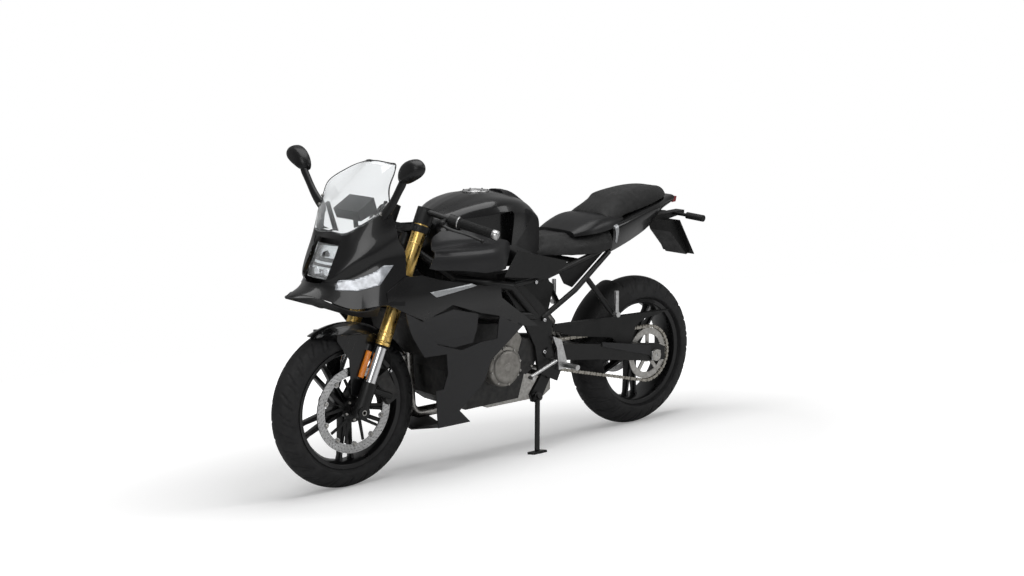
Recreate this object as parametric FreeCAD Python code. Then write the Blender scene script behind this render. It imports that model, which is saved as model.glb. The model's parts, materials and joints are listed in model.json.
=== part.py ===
import FreeCAD, Part
import math
import os

# Sport motorcycle, millimetres.
# Every piece is drawn on the upright machine: X forward, Y to its left, Z up,
# the rear axle above X = 0, the ground at Z = 0. It is then leaned to its left,
# onto its side stand, and centred on its bounding box.

V = FreeCAD.Vector
ORIGIN = V(0, 0, 0)
AXIS_X = V(1, 0, 0)
AXIS_Y = V(0, 1, 0)
AXIS_Z = V(0, 0, 1)
FULL_TURN = 360.0

# Driving sizes of the machine
WHEELBASE = 1460.0
BODY_HALF_WIDTH = 250.0
BODY_HEIGHT = 1000.0
FRONT_TYRE_RADIUS = 300.0
FRONT_TYRE_HALF_WIDTH = 60.0
REAR_TYRE_RADIUS = 312.0
REAR_TYRE_HALF_WIDTH = 81.0
BEAD_RADIUS = 216.0
RAKE = 23.5
STEERING_OFFSET = 31.0
LEAN = 10.0
FIT = 0.3
RUNNING_GAP = 6.0

# Wheels
FRONT_RIM_HALF_WIDTH = 47.0
REAR_RIM_HALF_WIDTH = 63.0
RIM_WALL = 5.0
RIM_FLANGE = 7.0
RIM_WELL_DEPTH = 20.0
SPOKE_PAIRS = 5
SPOKE_WIDTH = 15.0
SPOKE_HALF_DEPTH = 15.0
SPOKE_ROOT_ANGLE = 16.0
SPOKE_RIM_ANGLE = 12.0
HUB_RADIUS = 37.0
FRONT_HUB_HALF = 60.0
REAR_HUB_HALF = 84.0
FRONT_AXLE_RADIUS = 10.0
REAR_AXLE_RADIUS = 12.0
AXLE_CLEARANCE = 0.5
AXLE_BORE_RADIUS = 7.0

# Brakes
FRONT_DISC_RADIUS = 160.0
FRONT_DISC_BAND = 38.0
DISC_THICKNESS = 5.0
DISC_PETALS = 10
DISC_ARMS = 5
DISC_ARM_WIDTH = 16.0
DISC_HUB_RADIUS = 34.0
REAR_DISC_RADIUS = 112.0
REAR_DISC_BAND = 30.0
CALIPER_LENGTH = 118.0
CALIPER_HEIGHT = 58.0
CALIPER_WIDTH = 66.0
REAR_CALIPER_WIDTH = 50.0
CALIPER_SLOT = 16.0
CALIPER_ANGLE = 152.0
REAR_CALIPER_ANGLE = 40.0

# Fork, distances along its legs from the front axle
FORK_HALF_SPACING = 105.0
FORK_TUBE_RADIUS = 27.0
FORK_STEEL_RADIUS = 20.5
FORK_FOOT_LOW = 24.0
FORK_FOOT_TOP = 110.0
FORK_TUBE_LOW = 252.0
FORK_TUBE_TOP = 747.0
FORK_STEEL_TOP = 330.0
FORK_STEEL_LOW = 30.0
FORK_RING_COUNT = 3
FORK_RING_PITCH = 15.0
FORK_RING_DEPTH = 2.5
FORK_RING_WIDTH = 4.0
AXLE_BOSS_RADIUS = 24.0
AXLE_BOSS_LENGTH = 50.0
LOWER_CLAMP_PLACE = 482.0
LOWER_CLAMP_HEIGHT = 36.0
UPPER_CLAMP_PLACE = 682.0
UPPER_CLAMP_HEIGHT = 26.0
CLAMP_WALL = 9.0
STEM_RADIUS = 15.0
STEM_BOSS_RADIUS = 27.0
HEAD_TUBE_WALL = 9.0
HEAD_GAP = 6.0

# Handlebars
BAR_RADIUS = 11.0
BAR_LENGTH = 245.0
BAR_SWEEP = 32.0
BAR_DROP = 16.0
BAR_ROOT_FORWARD = 6.0
BAR_ROOT_OUT = 34.0
BAR_CAP = 27.0
BAR_CLAMP_WALL = 7.0
BAR_CLAMP_HEIGHT = 34.0
GRIP_RADIUS = 17.0
GRIP_LENGTH = 128.0
BAR_END_RADIUS = 19.0
BAR_END_LENGTH = 26.0
SWITCH_LENGTH = 40.0
SWITCH_RADIUS = 21.0
PERCH_LENGTH = 22.0
PERCH_RADIUS = 18.0
LEVER_THICKNESS = 8.0
LEVER_REACH = 40.0
LEVER_TIP_REACH = 52.0
LEVER_DROOP = 28.0

# Side stand
STAND_PIVOT_SHARES = (0.445, 0.60, 0.235)
STAND_FORWARD = 74.0
STAND_LEG_RADIUS = 10.0
STAND_REACH = 84.0
STAND_FOOT_LENGTH = 62.0
STAND_FOOT_WIDTH = 44.0
STAND_FOOT_THICKNESS = 9.0
STAND_EYE_RADIUS = 17.0
STAND_EYE_HALF = 11.0
STAND_BRACKET_WALL = 8.0
STAND_FOLD_SHARES = (-0.99, 0.10, 0.02)

# Chain drive
CHAIN_PLANE = 102.0
CHAIN_HALF_WIDTH = 10.5
CHAIN_PLATE_HALF = 7.0
REAR_PITCH_RADIUS = 114.0
FRONT_PITCH_RADIUS = 38.0
SPROCKET_THICKNESS = 6.0
SPROCKET_TEETH = 45
ROLLER_RADIUS = 5.0
SPROCKET_GAP = 0.6
SPROCKET_BAND = 26.0
FRONT_SPROCKET_SHARES = (0.473, 0.0, 0.402)

# Swingarm
SWINGARM_INNER = 118.0
SWINGARM_THICKNESS = 30.0
SWINGARM_PIVOT_RADIUS = 24.0
SWINGARM_AXLE_TAIL = 55.0

# Frame tubes
FRAME_TUBE_RADIUS = 17.0
SUBFRAME_TUBE_RADIUS = 11.0
PLATE_THICKNESS = 14.0

# Body skins
SKIN = 4.0
SCREEN_THICKNESS = 3.0
MUDGUARD_SKIN = 3.0
MUDGUARD_GAP = 17.0

# Fuel cap
CAP_RADIUS = 52.0
CAP_THICKNESS = 7.0
CAP_HINGE_GAP = 5.0
CAP_SHARES = (0.572, 0.0, 1.040)


def body(shares):
    """A point of the upright machine from its shares of length, half width and height."""
    x_share, y_share, z_share = shares
    return V(x_share * WHEELBASE, y_share * BODY_HALF_WIDTH, z_share * BODY_HEIGHT)


def along_y(shape, place):
    """Copy a shape drawn about the Y axis to a place on the machine."""
    moved = shape.copy()
    moved.translate(place)
    return moved


def mirrored(shape):
    return shape.mirror(ORIGIN, AXIS_Y)


def pair(shape):
    """A left piece and its right twin."""
    return Part.makeCompound([shape, mirrored(shape)])


def rod(start, end, radius):
    run = end - start
    return Part.makeCylinder(radius, run.Length, start, run)


def fused(shapes):
    whole = shapes[0]
    for shape in shapes[1:]:
        whole = whole.fuse(shape)
    return whole.removeSplitter()


def tube_run(points, radius):
    """Straight round tubes with a ball at each joint, as one solid."""
    pieces = [rod(a, b, radius) for a, b in zip(points, points[1:])]
    pieces += [Part.makeSphere(radius, point) for point in points[1:-1]]
    return fused(pieces)


def bent_tube(points, radius, bend_radius):
    """A round tube along straight runs joined by tangent arcs."""
    edges = []
    start = points[0]
    for before, corner, after in zip(points, points[1:], points[2:]):
        into = (before - corner).normalize()
        out = (after - corner).normalize()
        half = into.getAngle(out) / 2
        reach = bend_radius / math.tan(half)
        middle = (into + out).normalize() * (bend_radius / math.sin(half) - bend_radius)
        arc_start = corner + into * reach
        arc_end = corner + out * reach
        edges.append(Part.LineSegment(start, arc_start).toShape())
        edges.append(Part.Arc(arc_start, corner + middle, arc_end).toShape())
        start = arc_end
    edges.append(Part.LineSegment(start, points[-1]).toShape())
    path = Part.Wire(edges)
    section = Part.Wire(Part.Circle(points[0], points[1] - points[0], radius).toShape())
    return path.makePipeShell([section], True, True)


def side_face(shares, y):
    """A flat face in a side view, from length and height shares."""
    points = [body((x, 0, z)) + AXIS_Y * y for x, z in shares]
    return Part.Face(Part.makePolygon(points + points[:1]))


def side_prism(shares, y_from, y_to):
    """A side-view outline made solid between two planes."""
    return side_face(shares, y_from).extrude(AXIS_Y * (y_to - y_from))


def front_prism(shares, x_from, x_to):
    """A front-view outline, in half-width and height shares, made solid along X."""
    points = [body((0, y, z)) + AXIS_X * x_from for y, z in shares]
    return Part.Face(Part.makePolygon(points + points[:1])).extrude(AXIS_X * (x_to - x_from))


def plan_prism(points, height):
    """A closed plan outline made solid upward."""
    return Part.Face(Part.makePolygon(points + points[:1])).extrude(AXIS_Z * height)


def turned(profile_edges):
    """A closed profile in the plane X = 0, revolved about the Y axis."""
    return Part.Face(Part.Wire(profile_edges)).revolve(ORIGIN, AXIS_Y, FULL_TURN)


def polygon_edges(points):
    return [Part.LineSegment(a, b).toShape() for a, b in zip(points, points[1:])]


def row_curve(points):
    """A smooth edge through the points of one row of a panel."""
    curve = Part.BSplineCurve()
    curve.interpolate(points)
    return curve.toShape()


def inward_points(rows, thickness):
    """The points of the inner face, one thickness in from the outer ones."""
    count = len(rows)
    inner = []
    for i, row in enumerate(rows):
        inner_row = []
        for j, point in enumerate(row):
            down = rows[min(i + 1, count - 1)][j] - rows[max(i - 1, 0)][j]
            side = row[min(j + 1, len(row) - 1)] - row[max(j - 1, 0)]
            normal = side.cross(down).normalize()
            moved = point + normal * thickness
            if abs(point.y) < FIT:
                moved.y = 0
            inner_row.append(moved)
        inner.append(inner_row)
    return inner


def panel(rows, thickness):
    """A moulded panel: smooth along its rows and creased across them."""
    inner = inward_points(rows, thickness)
    outer_edges = [row_curve(row) for row in rows]
    inner_edges = [row_curve(row) for row in inner]
    faces = []
    for edges in (outer_edges, inner_edges):
        for a, b in zip(edges, edges[1:]):
            faces.append(Part.makeRuledSurface(a, b))
    for place in (0, -1):
        faces.append(Part.makeRuledSurface(outer_edges[place], inner_edges[place]))
        ends = [(row[place], inside[place]) for row, inside in zip(rows, inner)]
        for (a, b), (c, d) in zip(ends, ends[1:]):
            faces.append(Part.makeRuledSurface(Part.makeLine(a, b), Part.makeLine(c, d)))
    return solid_of(faces)


def solid_of(faces):
    shell = Part.Shell(faces)
    shell.sewShape()
    solid = Part.makeSolid(shell)
    if solid.Volume < 0:
        solid.reverse()
    return solid


def share_rows(rows_shares):
    return [[body(point) for point in row] for row in rows_shares]


def ring_section(x_share, half_shares):
    """A closed section across the machine from its left half, top to bottom."""
    left = [body((x_share, y, z)) for y, z in half_shares]
    right = [V(p.x, -p.y, p.z) for p in reversed(left) if abs(p.y) > FIT]
    return Part.makePolygon(left + right + left[:1])


def lofted(sections_shares):
    """A solid body through its sections, smooth along its length."""
    wires = [ring_section(x, half) for x, half in sections_shares]
    return Part.makeLoft(wires, True, False)


# Wheels

def tyre(radius, half_width, rim_half_width):
    """A road tyre with a round crown, seated on its rim."""
    crown = radius - half_width
    bead = rim_half_width - RIM_WALL
    lip = BEAD_RADIUS + RIM_FLANGE + FIT
    left_bead = V(0, bead, BEAD_RADIUS)
    left_lip = V(0, bead, lip)
    left_side = V(0, (bead + half_width) / 2 + RIM_WALL / 2, (lip + crown) / 2)
    left = V(0, half_width, crown)
    right_bead, right_lip, right_side, right = (V(0, -p.y, p.z) for p in (left_bead, left_lip, left_side, left))
    edges = polygon_edges([right_lip, right_bead, left_bead, left_lip])
    edges.append(Part.Arc(left_lip, left_side, left).toShape())
    edges.append(Part.Arc(left, V(0, 0, radius), right).toShape())
    edges.append(Part.Arc(right, right_side, right_lip).toShape())
    return turned(edges)


def spoke(side, rim_half_width):
    """One spoke of a pair, drawn along Z, leaning to one side towards the rim."""
    root = math.radians(SPOKE_ROOT_ANGLE * side)
    tip = math.radians(SPOKE_RIM_ANGLE * side)
    inner_radius = HUB_RADIUS - RIM_WALL
    outer_radius = BEAD_RADIUS - RIM_WELL_DEPTH
    start = V(math.sin(root), 0, math.cos(root)) * inner_radius
    end = V(math.sin(tip), 0, math.cos(tip)) * outer_radius
    run = (end - start).normalize()
    across = V(run.z, 0, -run.x)
    half = SPOKE_WIDTH / 2
    corners = [start - across * half, start + across * half, end + across * half, end - across * half]
    corners = [V(p.x, -SPOKE_HALF_DEPTH, p.z) for p in corners]
    face = Part.Face(Part.makePolygon(corners + corners[:1]))
    return face.extrude(AXIS_Y * (2 * SPOKE_HALF_DEPTH))


def rim(half_width, hub_half):
    """A cast wheel: barrel with flanges, hub and paired spokes."""
    bead = half_width - RIM_WALL
    flange = BEAD_RADIUS + RIM_FLANGE
    well = BEAD_RADIUS - RIM_WELL_DEPTH
    seat = BEAD_RADIUS - FIT
    half_profile = [
        V(0, bead + FIT, seat), V(0, bead + FIT, flange), V(0, half_width, flange),
        V(0, half_width, BEAD_RADIUS - RIM_FLANGE), V(0, bead, BEAD_RADIUS - RIM_FLANGE),
        V(0, bead / 2, well - RIM_WALL),
    ]
    points = half_profile + [V(0, -p.y, p.z) for p in reversed(half_profile)]
    barrel = turned(polygon_edges(points + points[:1]))
    hub = Part.makeCylinder(HUB_RADIUS, 2 * hub_half, V(0, -hub_half, 0), AXIS_Y)
    arms = []
    for number in range(SPOKE_PAIRS):
        for side in (-1, 1):
            arm = spoke(side, half_width)
            arm.rotate(ORIGIN, AXIS_Y, FULL_TURN * number / SPOKE_PAIRS)
            arms.append(arm)
    wheel = fused([barrel, hub] + arms)
    return wheel


def bored(shape, radius, half_length):
    bore = Part.makeCylinder(radius, 2 * half_length, V(0, -half_length, 0), AXIS_Y)
    return shape.cut(bore)


def brake_disc(radius, band, face):
    """A floating disc: petalled band on a spider that bolts to the hub's end face."""
    ring = Part.makeCylinder(radius, DISC_THICKNESS, V(0, face, 0), AXIS_Y)
    ring = ring.cut(Part.makeCylinder(radius - band, DISC_THICKNESS, V(0, face, 0), AXIS_Y))
    centre = Part.makeCylinder(DISC_HUB_RADIUS, DISC_THICKNESS, V(0, face, 0), AXIS_Y)
    arms = []
    for number in range(DISC_ARMS):
        arm = Part.makeBox(DISC_ARM_WIDTH, DISC_THICKNESS, radius - band / 2)
        arm.translate(V(-DISC_ARM_WIDTH / 2, face, 0))
        arm.rotate(ORIGIN, AXIS_Y, FULL_TURN * number / DISC_ARMS)
        arms.append(arm)
    disc = fused([ring, centre] + arms)
    return disc


def front_hub_face():
    return FRONT_HUB_HALF


def sprocket():
    """The toothed ring of the rear wheel, inside the chain's rollers."""
    tip = REAR_PITCH_RADIUS - CHAIN_PLATE_HALF - SPROCKET_GAP
    plane = CHAIN_PLANE - SPROCKET_THICKNESS / 2
    plate = Part.makeCylinder(tip, SPROCKET_THICKNESS, V(0, plane, 0), AXIS_Y)
    window = Part.makeCylinder(tip - SPROCKET_BAND, SPROCKET_THICKNESS, V(0, plane, 0), AXIS_Y)
    plate = plate.cut(window)
    arms = []
    for number in range(DISC_ARMS):
        arm = Part.makeBox(DISC_ARM_WIDTH, SPROCKET_THICKNESS, tip - SPROCKET_BAND / 2)
        arm.translate(V(-DISC_ARM_WIDTH / 2, plane, 0))
        arm.rotate(ORIGIN, AXIS_Y, FULL_TURN * number / DISC_ARMS)
        arms.append(arm)
    carrier_low = REAR_HUB_HALF
    carrier = Part.makeCylinder(HUB_RADIUS, plane + SPROCKET_THICKNESS - carrier_low,
                                V(0, carrier_low, 0), AXIS_Y)
    return bored(fused([plate, carrier] + arms), REAR_AXLE_RADIUS + AXLE_CLEARANCE, 2 * CHAIN_PLANE)


def front_wheel_pieces():
    centre = V(WHEELBASE, 0, FRONT_TYRE_RADIUS)
    bore = FRONT_AXLE_RADIUS + AXLE_CLEARANCE
    wheel = bored(rim(FRONT_RIM_HALF_WIDTH, FRONT_HUB_HALF), bore, 2 * FRONT_HUB_HALF)
    disc = bored(brake_disc(FRONT_DISC_RADIUS, FRONT_DISC_BAND, FRONT_HUB_HALF), bore, 2 * FRONT_HUB_HALF)
    return {
        "front_tyre": along_y(tyre(FRONT_TYRE_RADIUS, FRONT_TYRE_HALF_WIDTH, FRONT_RIM_HALF_WIDTH), centre),
        "front_rim": along_y(wheel, centre),
        "front_disc": along_y(disc, centre),
    }


def rear_wheel_pieces():
    centre = V(0, 0, REAR_TYRE_RADIUS)
    bore = REAR_AXLE_RADIUS + AXLE_CLEARANCE
    wheel = bored(rim(REAR_RIM_HALF_WIDTH, REAR_HUB_HALF), bore, 2 * REAR_HUB_HALF)
    disc = brake_disc(REAR_DISC_RADIUS, REAR_DISC_BAND, -REAR_HUB_HALF - DISC_THICKNESS)
    return {
        "rear_tyre": along_y(tyre(REAR_TYRE_RADIUS, REAR_TYRE_HALF_WIDTH, REAR_RIM_HALF_WIDTH), centre),
        "rear_rim": along_y(wheel, centre),
        "rear_disc": along_y(bored(disc, bore, 2 * REAR_HUB_HALF), centre),
        "rear_sprocket": along_y(sprocket(), centre),
    }


# Fork and steering

def on_fork(shape):
    """Move a shape from the fork's own frame, legs along Z from the axle, to the machine."""
    placed = shape.copy()
    placed.rotate(ORIGIN, AXIS_Y, -RAKE)
    placed.translate(V(WHEELBASE, 0, FRONT_TYRE_RADIUS))
    return placed


def fork_point(forward, left, up):
    rotation = FreeCAD.Rotation(AXIS_Y, -RAKE)
    return rotation.multVec(V(forward, left, up)) + V(WHEELBASE, 0, FRONT_TYRE_RADIUS)


def fork_upper():
    """An outer fork tube with turned rings at its lower end."""
    low = V(0, FORK_HALF_SPACING, FORK_TUBE_LOW)
    tube = Part.makeCylinder(FORK_TUBE_RADIUS, FORK_TUBE_TOP - FORK_TUBE_LOW, low, AXIS_Z)
    bore_depth = FORK_STEEL_TOP - FORK_TUBE_LOW + FIT
    tube = tube.cut(Part.makeCylinder(FORK_STEEL_RADIUS + FIT, bore_depth, low, AXIS_Z))
    for number in range(FORK_RING_COUNT):
        place = low + AXIS_Z * (FORK_RING_PITCH * (number + 1))
        groove = Part.makeCylinder(FORK_TUBE_RADIUS, FORK_RING_WIDTH, place, AXIS_Z)
        core = Part.makeCylinder(FORK_TUBE_RADIUS - FORK_RING_DEPTH, FORK_RING_WIDTH, place, AXIS_Z)
        tube = tube.cut(groove.cut(core))
    return tube


def fork_steel():
    low = V(0, FORK_HALF_SPACING, FORK_STEEL_LOW)
    return Part.makeCylinder(FORK_STEEL_RADIUS, FORK_STEEL_TOP - FORK_STEEL_LOW, low, AXIS_Z)


def fork_foot():
    """The cast foot that holds the steel leg above and the axle below."""
    low = V(0, FORK_HALF_SPACING, -FORK_FOOT_LOW)
    post = Part.makeCylinder(FORK_TUBE_RADIUS, FORK_FOOT_TOP + FORK_FOOT_LOW, low, AXIS_Z)
    boss_start = V(0, FORK_HALF_SPACING - AXLE_BOSS_LENGTH / 2, 0)
    boss = Part.makeCylinder(AXLE_BOSS_RADIUS, AXLE_BOSS_LENGTH, boss_start, AXIS_Y)
    foot = post.fuse(boss)
    socket = V(0, FORK_HALF_SPACING, FORK_STEEL_LOW - FIT)
    foot = foot.cut(Part.makeCylinder(FORK_STEEL_RADIUS + FIT, FORK_FOOT_TOP, socket, AXIS_Z))
    return bored(foot, FRONT_AXLE_RADIUS + FIT, 2 * FORK_HALF_SPACING)


def fork_clamp(place, height):
    """A yoke that grips both legs and carries the steering stem."""
    wall_radius = FORK_TUBE_RADIUS + CLAMP_WALL
    low = V(0, 0, place)
    back = V(-STEERING_OFFSET, 0, place)
    bosses = []
    for side in (-1, 1):
        seat = V(0, side * FORK_HALF_SPACING, place)
        bosses.append(Part.makeCylinder(wall_radius, height, seat, AXIS_Z))
    bosses.append(Part.makeCylinder(STEM_BOSS_RADIUS, height, back, AXIS_Z))
    corners = [
        V(-STEERING_OFFSET - STEM_BOSS_RADIUS, -STEM_BOSS_RADIUS, place),
        V(-wall_radius, -FORK_HALF_SPACING, place),
        V(FORK_STEEL_RADIUS, -FORK_HALF_SPACING, place),
        V(0, 0, place),
        V(FORK_STEEL_RADIUS, FORK_HALF_SPACING, place),
        V(-wall_radius, FORK_HALF_SPACING, place),
        V(-STEERING_OFFSET - STEM_BOSS_RADIUS, STEM_BOSS_RADIUS, place),
    ]
    yoke = fused([plan_prism(corners, height)] + bosses)
    for side in (-1, 1):
        seat = V(0, side * FORK_HALF_SPACING, place)
        yoke = yoke.cut(Part.makeCylinder(FORK_TUBE_RADIUS + FIT, height, seat, AXIS_Z))
    return yoke


def triple_clamps():
    stem_low = V(-STEERING_OFFSET, 0, LOWER_CLAMP_PLACE)
    stem_length = UPPER_CLAMP_PLACE + UPPER_CLAMP_HEIGHT - LOWER_CLAMP_PLACE
    stem = Part.makeCylinder(STEM_RADIUS, stem_length, stem_low, AXIS_Z)
    return fused([
        fork_clamp(LOWER_CLAMP_PLACE, LOWER_CLAMP_HEIGHT),
        fork_clamp(UPPER_CLAMP_PLACE, UPPER_CLAMP_HEIGHT),
        stem,
    ])


def bar_root():
    """Where the left bar leaves its clamp, in the fork's frame."""
    return V(BAR_ROOT_FORWARD, FORK_HALF_SPACING + BAR_ROOT_OUT, FORK_TUBE_TOP + FIT + BAR_CAP / 2)


def bar_direction():
    sweep = math.radians(BAR_SWEEP)
    drop = math.radians(BAR_DROP)
    level = V(-math.sin(sweep) * math.cos(drop), math.cos(sweep) * math.cos(drop), -math.sin(drop))
    return FreeCAD.Rotation(AXIS_Y, RAKE).multVec(level)


def bar_point(distance):
    return bar_root() + bar_direction() * distance


def handlebar():
    """A clip-on bar with the clamp that caps its fork leg."""
    clamp_radius = FORK_TUBE_RADIUS + BAR_CLAMP_WALL
    low = V(0, FORK_HALF_SPACING, FORK_TUBE_TOP - BAR_CLAMP_HEIGHT)
    clamp = Part.makeCylinder(clamp_radius, BAR_CLAMP_HEIGHT + FIT + BAR_CAP, low, AXIS_Z)
    clamp = clamp.cut(Part.makeCylinder(FORK_TUBE_RADIUS + FIT, BAR_CLAMP_HEIGHT + FIT, low, AXIS_Z))
    bar = rod(bar_point(0), bar_point(BAR_LENGTH), BAR_RADIUS)
    inner = V(0, FORK_HALF_SPACING, FORK_TUBE_TOP + FIT + BAR_CAP / 2)
    arm = tube_run([inner, bar_point(0), bar_point(BAR_RADIUS)], BAR_RADIUS)
    return fused([clamp, arm, bar])


def grip():
    start = BAR_LENGTH - GRIP_LENGTH
    sleeve = rod(bar_point(start), bar_point(BAR_LENGTH - FIT), GRIP_RADIUS)
    sleeve = sleeve.cut(rod(bar_point(start), bar_point(BAR_LENGTH), BAR_RADIUS + FIT))
    weight = rod(bar_point(BAR_LENGTH), bar_point(BAR_LENGTH + BAR_END_LENGTH), BAR_END_RADIUS)
    return Part.makeCompound([sleeve, weight])


def switch_pod():
    end = BAR_LENGTH - GRIP_LENGTH - FIT
    start = end - SWITCH_LENGTH
    pod = rod(bar_point(start), bar_point(end), SWITCH_RADIUS)
    return pod.cut(rod(bar_point(start), bar_point(end), BAR_RADIUS + FIT))


def lever():
    """A hand lever: a perch on the bar and a blade ahead of the grip and below it."""
    end = BAR_LENGTH - GRIP_LENGTH - SWITCH_LENGTH - 2 * FIT
    start = end - PERCH_LENGTH
    along = bar_direction()
    level = along.cross(AXIS_Z).normalize()
    droop = math.radians(LEVER_DROOP)
    ahead = level * math.cos(droop) - level.cross(along) * math.sin(droop)
    ring = rod(bar_point(start), bar_point(end), PERCH_RADIUS)
    middle = bar_point((start + end) / 2)
    knee = middle + ahead * LEVER_REACH
    tip = bar_point(BAR_LENGTH - PERCH_LENGTH) + ahead * LEVER_TIP_REACH
    perch = rod(middle, knee, LEVER_THICKNESS)
    blade = rod(knee - ahead * (LEVER_THICKNESS / 2), tip, LEVER_THICKNESS / 2)
    bore = rod(bar_point(start - PERCH_LENGTH), bar_point(end + PERCH_LENGTH), BAR_RADIUS + FIT)
    return fused([ring, perch, blade]).cut(bore)


def guard_section(radius, half_width):
    """The U section of a mudguard in the plane X = 0, above the axle."""
    inner_radius = radius
    outer_radius = radius + MUDGUARD_SKIN
    inner_half = half_width
    outer_half = half_width + MUDGUARD_SKIN
    fall = half_width / 2
    outer = [V(0, outer_half, radius - half_width), V(0, outer_half, radius - fall)]
    inner = [V(0, inner_half, radius - half_width), V(0, inner_half, radius - fall)]
    outer_arc = Part.Arc(outer[1], V(0, 0, outer_radius), V(0, -outer_half, radius - fall)).toShape()
    inner_arc = Part.Arc(V(0, -inner_half, radius - fall), V(0, 0, inner_radius), inner[1]).toShape()
    edges = polygon_edges([outer[0], outer[1]]) + [outer_arc]
    right = [V(0, -p.y, p.z) for p in (outer[1], outer[0], inner[0], inner[1])]
    edges += polygon_edges(right) + [inner_arc] + polygon_edges([inner[1], inner[0], outer[0]])
    return Part.Face(Part.Wire(edges))


def mudguard(radius, half_width, start_angle, sweep):
    """A mudguard swept about the axle, from a start angle ahead of straight up."""
    section = guard_section(radius, half_width)
    section.rotate(ORIGIN, AXIS_Y, start_angle)
    return section.revolve(ORIGIN, AXIS_Y, -sweep)


FRONT_GUARD_START = 34.0
FRONT_GUARD_SWEEP = 88.0
GUARD_SIDE_GAP = 10.0
GUARD_EAR_FORWARD = 44.0
GUARD_EAR_LOW = 90.0
GUARD_EAR_TOP = 262.0


def front_mudguard():
    half_width = FRONT_TYRE_HALF_WIDTH + GUARD_SIDE_GAP
    radius = FRONT_TYRE_RADIUS + MUDGUARD_GAP
    guard = mudguard(radius, half_width, FRONT_GUARD_START, FRONT_GUARD_SWEEP)
    guard.rotate(ORIGIN, AXIS_Y, RAKE)
    ear_y = half_width
    ear_points = [
        V(-FORK_STEEL_RADIUS, ear_y, GUARD_EAR_TOP), V(-FORK_STEEL_RADIUS, ear_y, GUARD_EAR_LOW),
        V(GUARD_EAR_FORWARD / 2, ear_y, GUARD_EAR_LOW), V(GUARD_EAR_FORWARD, ear_y, GUARD_EAR_TOP),
    ]
    face = Part.Face(Part.makePolygon(ear_points + ear_points[:1]))
    ear = face.extrude(AXIS_Y * (FORK_HALF_SPACING - FORK_TUBE_RADIUS - FIT - ear_y))
    return fused([guard, ear, mirrored(ear)])


REFLECTOR_LOW = 118.0
REFLECTOR_LENGTH = 100.0
REFLECTOR_WIDTH = 20.0
REFLECTOR_THICKNESS = 8.0


def reflector():
    """The side reflector on the mudguard's ear, just ahead of the leg."""
    face_y = FORK_HALF_SPACING - FORK_TUBE_RADIUS
    block = Part.makeBox(REFLECTOR_WIDTH, REFLECTOR_THICKNESS, REFLECTOR_LENGTH)
    block.translate(V(FORK_STEEL_RADIUS + FIT, face_y, REFLECTOR_LOW))
    return block


def caliper(disc_radius, disc_face, angle, width):
    """A radial caliper over the disc's edge, slotted for it, in the wheel's own frame."""
    middle_y = disc_face + DISC_THICKNESS / 2
    radius_low = disc_radius - CALIPER_HEIGHT + CALIPER_SLOT
    block = Part.makeBox(CALIPER_LENGTH, width, CALIPER_HEIGHT)
    block.translate(V(-CALIPER_LENGTH / 2, middle_y - width / 2, radius_low))
    slot = Part.makeBox(2 * CALIPER_LENGTH, CALIPER_SLOT, CALIPER_HEIGHT)
    slot.translate(V(-CALIPER_LENGTH, middle_y - CALIPER_SLOT / 2, radius_low - CALIPER_HEIGHT))
    bridge_slot = Part.makeCylinder(disc_radius + RUNNING_GAP, CALIPER_SLOT,
                                    V(0, middle_y - CALIPER_SLOT / 2, 0), AXIS_Y)
    block = block.cut(slot).cut(bridge_slot)
    block.rotate(ORIGIN, AXIS_Y, 90 - angle)
    return block


def front_caliper():
    return caliper(FRONT_DISC_RADIUS, FRONT_HUB_HALF, CALIPER_ANGLE - RAKE, CALIPER_WIDTH)


def front_axle():
    """The spindle with its spacers between hub and fork feet."""
    half = FORK_HALF_SPACING + AXLE_BOSS_LENGTH / 2
    spindle = Part.makeCylinder(FRONT_AXLE_RADIUS, 2 * half, V(0, -half, 0), AXIS_Y)
    inner = FRONT_HUB_HALF + DISC_THICKNESS + FIT
    outer = FORK_HALF_SPACING - FORK_TUBE_RADIUS - FIT
    spacer = Part.makeCylinder(FRONT_AXLE_RADIUS + RIM_WALL, outer - inner, V(0, inner, 0), AXIS_Y)
    whole = fused([spindle, spacer, mirrored(spacer)])
    return whole.cut(Part.makeCylinder(AXLE_BORE_RADIUS, 2 * half, V(0, -half, 0), AXIS_Y))


CALIPER_LUG_RADIUS = 13.0
CALIPER_LUG_UP = 88.0


def caliper_lug(block):
    """The lug of the left fork foot that the caliper bolts to."""
    start = V(0, FORK_HALF_SPACING - CALIPER_LUG_RADIUS, CALIPER_LUG_UP)
    lug = rod(start, start - AXIS_X * CALIPER_LENGTH, CALIPER_LUG_RADIUS)
    inside = Part.makeCylinder(FORK_STEEL_RADIUS + FIT, FORK_FOOT_TOP, V(0, FORK_HALF_SPACING, 0), AXIS_Z)
    pieces = lug.cut(block).cut(inside).Solids
    return min(pieces, key=lambda piece: abs(piece.CenterOfMass.x))


def fork_feet(block):
    foot = fork_foot()
    return Part.makeCompound([fused([foot, caliper_lug(block)]), mirrored(foot)])


def steering_pieces():
    block = front_caliper()
    return {
        "fork_uppers": on_fork(pair(fork_upper())),
        "fork_steels": on_fork(pair(fork_steel())),
        "fork_feet": on_fork(fork_feet(block)),
        "triple_clamps": on_fork(triple_clamps()),
        "handlebars": on_fork(pair(handlebar())),
        "grips": on_fork(pair(grip())),
        "switch_pods": on_fork(pair(switch_pod())),
        "hand_levers": on_fork(pair(lever())),
        "front_mudguard": on_fork(front_mudguard()),
        "fork_reflectors": on_fork(pair(reflector())),
        "front_caliper": on_fork(block),
        "front_axle": on_fork(front_axle()),
    }


# Frame and running gear

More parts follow.
